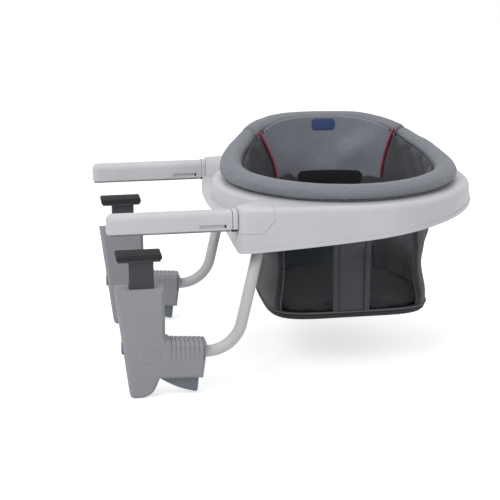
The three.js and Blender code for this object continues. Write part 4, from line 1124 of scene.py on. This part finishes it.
# Keeps a pad's skin off the ring, tight at its crown and drawn in at its ends
def clearOfRing(point, head):
    angle = seatAngle(point)
    inMost, outMost = ring["inner"] + padding["inMost"], ring["outer"] + ring["bulge"] + padding["outMost"]
    radius = min(max(hypot(point.x - ring["centreX"], point.y), inMost), outMost)
    floorZ = ring["flangeTop"] if radius < ring["flangeRadius"] else ring["deckTop"]
    z = max(point.z, floorZ)
    # the skin tightens as it fills, so its crown is brought back to its height
    crown = rimTop(angle) + coverLift(angle, head) - floorZ
    z = floorZ + (z - floorZ) * crown / (crown - padding["shrink"] - padding["tighten"] * farFromSeam(point))
    turned = headTurned(angle)
    middle = (ring["inner"] + ring["outer"]) / 2
    limit = ring["headAngle"]
    if turned > 0:
        limit += ring["headSkew"] * (radius - middle) / (ring["outer"] - middle)
    if head:
        turned = min(max(turned, -limit), limit)
    elif abs(turned) < limit + padding["seam"]:
        turned = signed(limit + padding["seam"], turned)
    angle = turned + ring["headTurn"]
    # the seam between the two covers pulls in
    away = abs(abs(turned) - limit) * radius
    pull = padding["pull"] * exp(-(away / padding["pullReach"]) ** 2)
    radius = lerp(radius, middle, pull / padding["pullLean"])
    z -= pull * eased(z, floorZ + 0.008, rimTop(angle))
    # soft dents and gathers in the cover
    dent = noise.noise(point * 26) * padding["dent"]
    dent += noise.noise(point * 70 + Vector((3, 1, 7))) * padding["gather"]
    return seatPoint(angle, radius + dent, z + dent * 0.7 * eased(z, floorZ, floorZ + 0.01))


def setOut(point, by):
    radius = hypot(point.x - ring["centreX"], point.y) + by
    return seatPoint(seatAngle(point), radius, point.z)


# The welt that closes a cover's inner edge, and its row of stitches
def makeWelt(name, start, end, head):
    def place(share):
        angle = wrapped(lerp(start, end, share))
        top = rimTop(angle) + coverLift(angle, head)
        return seatPoint(angle, ring["inner"] + padding["weltGap"], top - padding["weltDrop"])

    points = sampled(int(abs(end - start) / padding["weltStep"]) + 1, place)
    sweptCord(name, "leatherette", points, padding["weltRadius"], 10, "seat", "weltCloth")
    rows = [setOut(p, padding["stitchOut"]) + Vector((0, 0, padding["stitchUp"])) for p in points]
    stitchRow(name + "_stitches", rows, "pad", "leatherette")


def makeRim():
    limit, turn, ends = ring["headAngle"], ring["headTurn"], padding["weltEnds"]
    front = makePad("rim_cover", turn + limit, turn + 2 * pi - limit, padding["columns"], 0, False)
    puffed(front, padding["voxel"], padding["cap"], lambda p: clearOfRing(p, False), farFromSeam)
    head = makePad("head_cover", turn - limit, turn + limit, padding["headColumns"], ring["headSwell"], True)
    puffed(head, padding["voxel"], padding["cap"], lambda p: clearOfRing(p, True), farFromSeam)
    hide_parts("rim_pad")
    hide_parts("head_pad")
    makeWelt("rim_welt", turn + limit + ends, turn + 2 * pi - limit - ends, False)
    makeWelt("head_welt", turn + ends - limit, turn + limit - ends, True)


makeRim()
print("rim done")

hanging = {
    "back": {
        "grid": (96, 60), "size": (0.226, 0.134), "thickness": 0.0022, "depth": 0.0004, "ripple": 0.0007,
        "hollows": [
            {"depth": 0.0064, "angle": 0.34, "wide": 0.17, "z": 0.045, "tall": 0.028, "slant": 4},
            {"depth": 0.0030, "angle": -0.30, "wide": 0.16, "z": 0.034, "tall": 0.030, "slant": 0},
            {"depth": 0.0028, "angle": 0.62, "wide": 0.10, "z": 0.050, "tall": 0.035, "slant": 0},
            {"depth": -0.0018, "angle": 0.15, "wide": 0.09, "z": 0.034, "tall": 0.024, "slant": -3},
        ],
    },
    "lower": {
        "grid": (60, 44), "size": (0.215, 0.123), "thickness": 0.0022, "depth": 0.0002, "sag": 0.0018,
        "overlap": 0.002,
    },
    "side": {
        "grid": (96, 88), "size": (0.225, 0.225), "thickness": 0.0022, "depth": 0.0002, "fold": 0.0064,
        "lap": 0.0006, "lapZ": (-0.036, -0.032), "ripple": 0.0012,
        "left": {"share": 0.7, "folds": 9, "flat": (0.262, 0.245), "area": 0.053},
        "right": {"share": 1, "folds": 15, "flat": (0.240, 0.245), "area": 0.0505},
    },
    "front": {
        "grid": (60, 24), "size": (0.255, 0.063), "thickness": 0.0024, "depth": 0.0003, "ripple": 0.0008,
        "ends": 0.004,
    },
}


def wave(angle, z, seed, coarse=24, fine=60):
    spot = Vector((angle * 0.15 * coarse, z * coarse, seed))
    return noise.noise(spot) + 0.35 * noise.noise(spot * (fine / coarse) + Vector((5, 2, 1)))


# A hollow across the back, which may lean to one side as it rises
def hollow(angle, z, facts, leanFrom=0.03):
    across = (angle - facts["angle"] - facts["slant"] * (z - leanFrom)) / facts["wide"]
    up = (z - facts["z"]) / facts["tall"]
    return facts["depth"] * exp(-across ** 2 - up ** 2)


def makeBack():
    facts, crest = hanging["back"], cloth["crest"]

    def place(u, v):
        crestAngle = lerp(seamAngle(-1, crest), seamAngle(1, crest), u)
        z = lerp(cloth["splitZ"], clothTop(crestAngle), v)
        angle = lerp(seamAngle(-1, z), seamAngle(1, z), u)
        edge = eased(min(u, 1 - u), 0, 0.12)
        # shallow hollows above the belt and a soft fall towards the seams
        depth = sum(hollow(angle, z, item) for item in facts["hollows"])
        depth += max(facts["ripple"] * (wave(angle, z, 3.0) + 0.6), 0)
        return clothPoint(angle, z, facts["depth"] + edge * max(depth, 0))

    # the back takes a lighter copy of the leatherette, as painted light
    piece = hungSheet("back_cover", "leatherette", facts, place, "litBackLeather")
    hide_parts("back_liner")


def makeBucketBack():
    facts = hanging["lower"]

    def place(u, v):
        z = lerp(cloth["bottom"], cloth["splitZ"] + facts["overlap"], v)
        angle = lerp(seamAngle(-1, z), seamAngle(1, z), u)
        sag = facts["sag"] * eased(min(u, 1 - u), 0, 0.1) * wave(angle, z, 11.0, 30)
        return clothPoint(angle, z, facts["depth"] + max(sag, 0))

    # the bucket's back takes a darker copy of the leatherette, as painted shade
    low = hungSheet("bucket_back", "bucket_cloth", facts, place, "shadedLowerLeather")
    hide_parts("back_liner")


def makeSide(side, word):
    facts, own, crest = hanging["side"], hanging["side"][word], cloth["crest"]

    # the sheet ends at the seam above, and laps over the bucket's back below it
    def start(z):
        lap = lerp(-facts["lap"], facts["lap"], eased(z, *facts["lapZ"]))
        return seamAngle(side, z) + side * lap / cloth["radius"]

    def place(u, v):
        top = clothTop(lerp(start(crest), legAngle(side), u))
        z = lerp(cloth["bottom"], top, v)
        angle = lerp(start(z), legAngle(side), u)
        rim = eased(min(u, 1 - u), 0, 0.08) * eased(v, 0, 0.06) * eased(1 - v, 0, 0.03)
        # upright folds that fan out from the seam's head, more of them on the right
        fan = (abs(angle) - 0.75) * (1 + 0.9 * eased(z, -0.02, 0.09))
        crease = (0.5 + 0.5 * sin(fan * own["folds"] + wave(angle, z, 1.5 + side, 9) * 1.3)) ** 2
        depth = facts["fold"] * own["share"] * crease * (0.35 + 0.65 * eased(z, -0.02, 0.03))
        depth += facts["ripple"] * max(wave(angle, z, 6.0 + side, 26), 0)
        return clothPoint(angle, z, facts["depth"] + rim * depth)

    piece = hungSheet(f"side_cover_{word}", "side_cloth", facts, place)
    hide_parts(f"side_liner_{word}")


def makeFront():
    facts = hanging["front"]
    start, end = legAngle(1) + facts["ends"], legAngle(-1) - facts["ends"] + 2 * pi

    def place(u, v):
        angle = lerp(start, end, u)
        z = lerp(cloth["legTop"], ring["crownLow"] - cloth["topDrop"], v)
        return clothPoint(angle, z, facts["depth"] + facts["ripple"] * max(wave(angle, z, 9.0, 30), 0))

    piece = hungSheet("front_cover", "leatherette", facts, place)
    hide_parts("front_liner")


makeBack()
makeBucketBack()
for word, side in sides.items():
    makeSide(side, word)
makeFront()
print("liners done")

trim = {
    "pipingRadius": 0.0017,
    "pipingDepth": 0.0052,
    "pipingTop": 0.0905,
    "pipingFoot": -0.030,
    "pipingEnds": {"topTuck": 0.004, "topReach": 0.006, "footTuck": 0.003, "footReach": 0.008},
    # these entries place a darker strip beside the piping, as painted shade
    "pipingShadeAway": (0.0006, 0.0036),
    "pipingShadeDrop": 0.002,
    "pipingShadeDepth": 0.0040,
    "edge": {"grid": (4, 60), "size": (0.003, 0.118), "thickness": 0.0006},
    "bindingStart": 0.0006,
    "bindingWidth": 0.0095,
    "binding": {"grid": (8, 60), "size": (0.0095, 0.142), "thickness": 0.0042},
    "bindingOut": 0.0003,
    "bindingSwell": 0.0006,
    "legGap": 0.0003,
    "beadRadius": 0.0010,
    "seamRadius": 0.0014,
    "rowInset": 0.0026,
    "rowOut": 0.0009,
    "rowEnds": (0.004, 0.003),
    "crotchShift": -0.0045,
    "crotchTop": 0.0295,
    "crotchBottom": 0.0285,
    "panel": {"grid": (36, 64), "size": (0.058, 0.142), "thickness": 0.0028},
    "panelGap": 0.0002,
    "panelSag": 0.0014,
    "panelWave": 0.0005,
    "panelSunk": 0.0004,
    "crotchSettle": 0.062,
    "crotchIn": 0.0016,
    "tape": 0.0085,
    "tapeOut": 0.0003,
    "tapeBulge": 0.0008,
    "tapeSheet": {"grid": (10, 64), "size": (0.0085, 0.142), "thickness": 0.0009},
    "tapeRow": 0.0012,
    "groove": 0.0006,
    "grooveRadius": 0.0009,
}
legTop = cloth["legTop"] - trim["legGap"]


def makePiping(side, word):
    foot, top, ends = trim["pipingFoot"], trim["pipingTop"], trim["pipingEnds"]

    # both ends go down into the seam
    def along(share):
        z = lerp(top, foot, share)
        tuck = ends["topTuck"] * eased(z, top - ends["topReach"], top)
        tuck += ends["footTuck"] * eased(-z, -foot - ends["footReach"], -foot)
        return clothPoint(seamAngle(side, z), z, trim["pipingDepth"] - tuck)

    cord = sweptCord(
        f"piping_cord_{word}", "piping", sampled(48, along), trim["pipingRadius"], 10, "seat", "pipingThread",
    )
    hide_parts(f"piping_{word}")

    # a flat darker strip beside the cord, as painted shade
    def place(u, v):
        z = lerp(foot, top - trim["pipingShadeDrop"], v)
        angle = seamAngle(side, z) + side * lerp(*trim["pipingShadeAway"], u) / cloth["radius"]
        return clothPoint(angle, z, trim["pipingShadeDepth"])

    hungSheet(f"piping_edge_{word}", "piping", trim["edge"], place, "pipingEdge", 0)


def makeBinding(side, word):
    start, width = trim["bindingStart"], trim["bindingWidth"]
    besideLeg = lambda out: legAngle(side) + side * out / cloth["radius"]

    def place(u, v):
        z = lerp(cloth["bottom"], legTop, v)
        swell = trim["bindingSwell"] * sin(pi * u)
        return clothPoint(besideLeg(lerp(start, start + width, u)), z, -trim["bindingOut"] - swell)

    piece = hungSheet(f"leg_tape_{word}", "binding", trim["binding"], place, "darkTape")
    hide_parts(f"leg_binding_{word}")
    edge = sampled(60, lambda t: clothPoint(
        besideLeg(start + width), lerp(cloth["bottom"], legTop, t), trim["beadRadius"],
    ))
    paint = "bead" if side < 0 else "beadShade"
    sweptCord(f"leg_bead_{word}", "binding", edge, trim["beadRadius"], 8, "seat", paint)
    low, high = cloth["bottom"] + trim["rowEnds"][0], cloth["legTop"] - trim["rowEnds"][1]
    row = sampled(40, lambda t: clothPoint(besideLeg(trim["rowInset"]), lerp(low, high, t), -trim["rowOut"]))
    stitchRow(f"leg_tape_stitches_{word}", row, "leg")


def crotchFront(z):
    settle = eased(legTop - z, 0, legTop + trim["crotchSettle"])
    return -lerp(cloth["radius"] - trim["crotchIn"], cloth["panHalf"] - cloth["panGap"], settle)


# A place on the panel's front: its height as a share, its distance from the edge, and how far it stands out
def onCrotch(side, share, inset, out=0.0):
    z = lerp(cloth["bottom"], legTop, share)
    half = lerp(trim["crotchBottom"], trim["crotchTop"], share)
    return Vector((ring["centreX"] + trim["crotchShift"] + side * (half - inset), crotchFront(z) - out, z))


def makeCrotch():
    def place(u, v):
        edge = onCrotch(1, v, trim["panelGap"])
        middle = ring["centreX"] + trim["crotchShift"]
        sag = trim["panelSag"] * sin(pi * u) * sin(pi * v)
        sag += trim["panelWave"] * noise.noise(Vector((u * 3, v * 5, 2)))
        x = middle + (edge.x - middle) * (2 * u - 1)
        return Vector((x, edge.y + trim["panelSunk"] + max(sag, 0), edge.z))

    panel = hungSheet("leg_panel", "bucket_cloth", trim["panel"], place, "panelCloth")
    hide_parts("crotch_panel")

    for word, side in sides.items():
        def tape(u, v, side=side):
            bulge = trim["tapeBulge"] * sin(pi * min(max(u, 0.04), 0.96))
            return onCrotch(side, v, trim["tape"] * u, trim["tapeOut"] + bulge)

        hungSheet(f"leg_panel_tape_{word}", "binding", trim["tapeSheet"], tape)
        for inset, label in ((trim["tapeRow"], "outer"), (trim["tape"] - trim["tapeRow"], "inner")):
            row = sampled(40, lambda t: onCrotch(side, lerp(0.02, 0.98, t), inset, trim["rowOut"]))
            stitchRow(f"leg_panel_stitches_{word}_{label}", row, "panel")
        # a black cord in the groove beside each tape, as painted shade
        groove = sampled(40, lambda t: onCrotch(side, t, trim["tape"] + trim["groove"]))
        sweptCord(f"leg_panel_seam_{word}", "binding", groove, trim["grooveRadius"], 6, "seat", "seamShade")


# A black cord over one of the bucket's back seams, below the lined part, as painted shade along the seam
def makeSeam(side, word):
    def along(share):
        z = lerp(cloth["bottom"], cloth["splitZ"], share)
        return clothPoint(seamAngle(side, z), z, trim["seamRadius"])

    points = sampled(40, along)
    sweptCord(f"bucket_seam_{word}", "bucket_cloth", points, trim["seamRadius"], 8, "seat", "seamShade")


for word, side in sides.items():
    makePiping(side, word)
for word, side in sides.items():
    makeBinding(side, word)
makeCrotch()
for word, side in sides.items():
    makeSeam(side, word)
print("trims done")

bottom = {
    "round": 0.009,
    "hem": [(0.0045, 0.0006), (0.0016, 0.0030), (0.0, 0.0068)],
    "rimInset": 0.0040,
    "rimDrop": 0.0064,
    "rowOut": 0.0001,
    "rowDrop": 0.0016,
    "cords": {
        "bottom_bead": {"out": 0.0009, "z": 0.0006, "radius": 0.0011, "paint": "bead"},
        # bottom_seam is a black cord just under the bead, as painted shade along the hem
        "bottom_seam": {"out": 0.0004, "z": -0.0010, "radius": 0.0008, "paint": "seamShade"},
    },
    "mapRadius": 0.127,
    "cushionTop": -0.1447,
    "cushionFoot": -0.1533,
    "inset": 0.0055,
    "footInset": 0.001,
    "crown": [(0.0002, 0.18), (0.0003, 0.42), (0.004, 0.68), (0.016, 0.86), (0.045, 0.97), (0.085, 1.0)],
    "grooves": (-0.042, 0.042),
    "grooveDepth": 0.0022,
    "grooveWidth": 0.0035,
    "grooveZ": (-0.150, -0.146),
    "swell": 0.006,
}


# A disc with the pan's outline, grown up through levels of (inset, z)
def raisedPan(inset, z, segments, levels, keepFoot):
    shape = bmesh.new()
    bmesh.ops.create_circle(shape, segments=segments, radius=1, cap_ends=True)
    face = shape.faces[:][0]
    for vert in face.verts:
        angle = atan2(vert.co.x, vert.co.y)
        vert.co = seatPoint(angle, panRadius(angle) - inset, z)
    for k, (inset, z) in enumerate(levels):
        face = grownFace(shape, face, keepFoot and k == 0)
        for vert in face.verts:
            angle = seatAngle(vert.co)
            vert.co = seatPoint(angle, panRadius(angle) - inset, z)
    return shape


def aroundPan(count, out, z):
    def place(share):
        angle = share * 2 * pi
        return seatPoint(angle, panRadius(angle) + out, cloth["panTop"] + z)

    return sampled(count, place)


def makePan():
    levels = [(inset, cloth["panBottom"] + rise) for inset, rise in bottom["hem"]]
    levels += [
        (0.0, cloth["panTop"]),
        (bottom["rimInset"], cloth["panTop"]),
        (bottom["rimInset"], cloth["panTop"] - bottom["rimDrop"]),
    ]
    shape = raisedPan(bottom["round"], cloth["panBottom"], 96, levels, True)
    bmesh.ops.remove_doubles(shape, verts=shape.verts, dist=0.00001)
    bmesh.ops.recalc_face_normals(shape, faces=shape.faces)
    layer = shape.loops.layers.uv.new("cloth")
    for item in shape.faces:
        item.smooth = True
        for loop in item.loops:
            co = loop.vert.co
            lying = abs(item.normal.z) > 0.7
            loop[layer].uv = (co.x, co.y) if lying else (seatAngle(co) * bottom["mapRadius"], co.z)
    piece = keep(shape, "bottom_cover", "bucket_cloth", "seat")
    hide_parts("seat_pan")
    stitchRow("bottom_hem_stitches", aroundPan(96, bottom["rowOut"], -bottom["rowDrop"]), "hem")
    for name, facts in bottom["cords"].items():
        path = aroundPan(120, facts["out"], facts["z"])
        sweptCord(name, "bucket_cloth", path, facts["radius"], 8, "seat", facts["paint"])


def makeCushion():
    foot, top, inset = bottom["cushionFoot"], bottom["cushionTop"], bottom["inset"]
    levels = [(inset + more, lerp(foot, top, rise)) for more, rise in bottom["crown"]]
    shape = raisedPan(inset + bottom["footInset"], foot, 72, levels, True)
    bmesh.ops.recalc_face_normals(shape, faces=shape.faces)
    smoothed(shape)
    piece = keep(shape, "seat_pad", "bucket_cloth", "seat", "padCloth")

    # held inside the pan, with two sewn grooves from front to back
    def settle(point):
        angle = seatAngle(point)
        radius = min(hypot(point.x - ring["centreX"], point.y), panRadius(angle) - inset)
        z = min(max(point.z, foot), top + bottom["swell"])
        away = [(point.x - ring["centreX"] - x) / bottom["grooveWidth"] for x in bottom["grooves"]]
        groove = bottom["grooveDepth"] * sum(exp(-a ** 2) for a in away)
        return seatPoint(angle, radius, z - groove * eased(z, *bottom["grooveZ"]))

    puffed(piece, padding["voxel"], bottom["swell"], settle)
    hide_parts("seat_cushion")


makePan()
makeCushion()
print("seat bottom done")

harness = {
    "belt": {
        "grid": (64, 24), "size": (0.113, 0.040), "thickness": 0.0001, "fill": 0.0028, "radius": 0.144,
        "centre": radians(7.5), "half": radians(22.5), "bottom": -0.028, "top": 0.0125, "corner": 0.010,
        "depth": 0.0072, "puff": 0.0016, "puffEnd": 0.008, "groove": 0.0008, "grooveShare": 0.035,
    },
    "strap": {
        "grid": (60, 10), "size": (0.09, 0.021), "thickness": 0.0014, "lap": radians(2.5), "outer": radians(58),
        "bottom": -0.019, "top": 0.002, "depth": 0.0060, "humpDepth": 0.0075, "hump": (0.08, 0.36),
        "dip": (0.55, 0.45), "humpRise": 0.0085, "dipDrop": 0.0035, "rise": 0.004, "left": 1.25, "right": 0.3,
    },
    "leg": {"grid": (12, 36), "thickness": 0.0016, "ripple": 0.0004},
    "patch": {
        "grid": (40, 20), "size": (0.039, 0.019), "thickness": 0.0008, "centre": radians(3), "z": 0.090,
        "radius": 0.1447, "corner": 0.006, "depth": 0.0040, "dome": 0.0006, "rowInset": 0.0018,
        "rowDepth": 0.0048, "rowPower": 0.45,
    },
}


def makeBelt():
    facts = harness["belt"]

    def place(u, v):
        # rounded ends and a padded middle
        end = min(u, 1 - u) * 2 * facts["half"] * facts["radius"]
        corner = facts["corner"]
        cut = corner - (corner ** 2 - max(corner - end, 0) ** 2) ** 0.5
        z = lerp(facts["bottom"] + cut, facts["top"] - cut, v)
        angle = facts["centre"] + lerp(-facts["half"], facts["half"], u)
        puff = facts["puff"] * sin(pi * v) ** 0.6 * min(end / facts["puffEnd"], 1)
        groove = facts["groove"] * exp(-((v - 0.5) / facts["grooveShare"]) ** 2)
        return clothPoint(angle, z, facts["depth"] + puff - groove)

    belt = hungSheet("belt_pad", "webbing", facts, place, "beltWeb")
    wall = belt.modifiers["wall"]
    wall.thickness = facts["fill"]
    wall.offset = 1
    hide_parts("waist_belt")


def makeStrap(side, word):
    belt, facts = harness["belt"], harness["strap"]
    start = belt["centre"] + side * (belt["half"] - facts["lap"])
    arch = lambda u, begin, length: sin(pi * min(max((u - begin) / length, 0), 1)) ** 2

    # the webbing arches up where it leaves the pad and dips before it goes through the cover
    def place(u, v):
        hump = arch(u, *facts["hump"]) * facts[word]
        rise = facts["humpRise"] * hump - facts["dipDrop"] * arch(u, *facts["dip"]) + facts["rise"] * u
        z = lerp(facts["bottom"], facts["top"], v) + rise
        return clothPoint(lerp(start, side * facts["outer"], u), z, facts["depth"] + facts["humpDepth"] * hump)

    strap = hungSheet(f"strap_{word}", "webbing", facts, place, "strapWeb")
    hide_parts(f"belt_strap_{word}")


def makeCrotchStrap():
    facts = harness["leg"]
    low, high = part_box("crotch_strap")

    def place(u, v):
        y = low.y + facts["ripple"] * sin(pi * v * 3)
        return Vector((lerp(low.x, high.x, u), y, lerp(low.z, high.z, v)))

    facts["size"] = (high.x - low.x, high.z - low.z)
    strap = hungSheet("leg_strap", "webbing", facts, place)
    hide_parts("crotch_strap")


def makePatch():
    facts = harness["patch"]
    spanX, spanZ, r = facts["size"][0] / 2, facts["size"][1] / 2, facts["corner"]

    # a rectangle with full corners
    def place(u, v):
        x = (2 * u - 1) * spanX
        over = max(abs(x) - (spanX - r), 0)
        z = (2 * v - 1) * (spanZ - r + max(r * r - over * over, 0) ** 0.5)
        dome = facts["dome"] * (1 - (x / spanX) ** 4) * (1 - (z / spanZ) ** 4)
        return clothPoint(facts["centre"] + x / facts["radius"], facts["z"] + z, facts["depth"] + dome)

    patch = hungSheet("bare_patch", "patch", facts, place)
    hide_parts("label")

    def along(share):
        turn = share * 2 * pi
        x = signed(abs(cos(turn)) ** facts["rowPower"], cos(turn)) * (spanX - facts["rowInset"])
        z = signed(abs(sin(turn)) ** facts["rowPower"], sin(turn)) * (spanZ - facts["rowInset"])
        return clothPoint(facts["centre"] + x / facts["radius"], facts["z"] + z, facts["rowDepth"])

    stitchRow("patch_stitches", sampled(64, along), "patch", "patch", "patchThread")


makeBelt()
for word, side in sides.items():
    makeStrap(side, word)
makeCrotchStrap()
makePatch()
print("belt done")
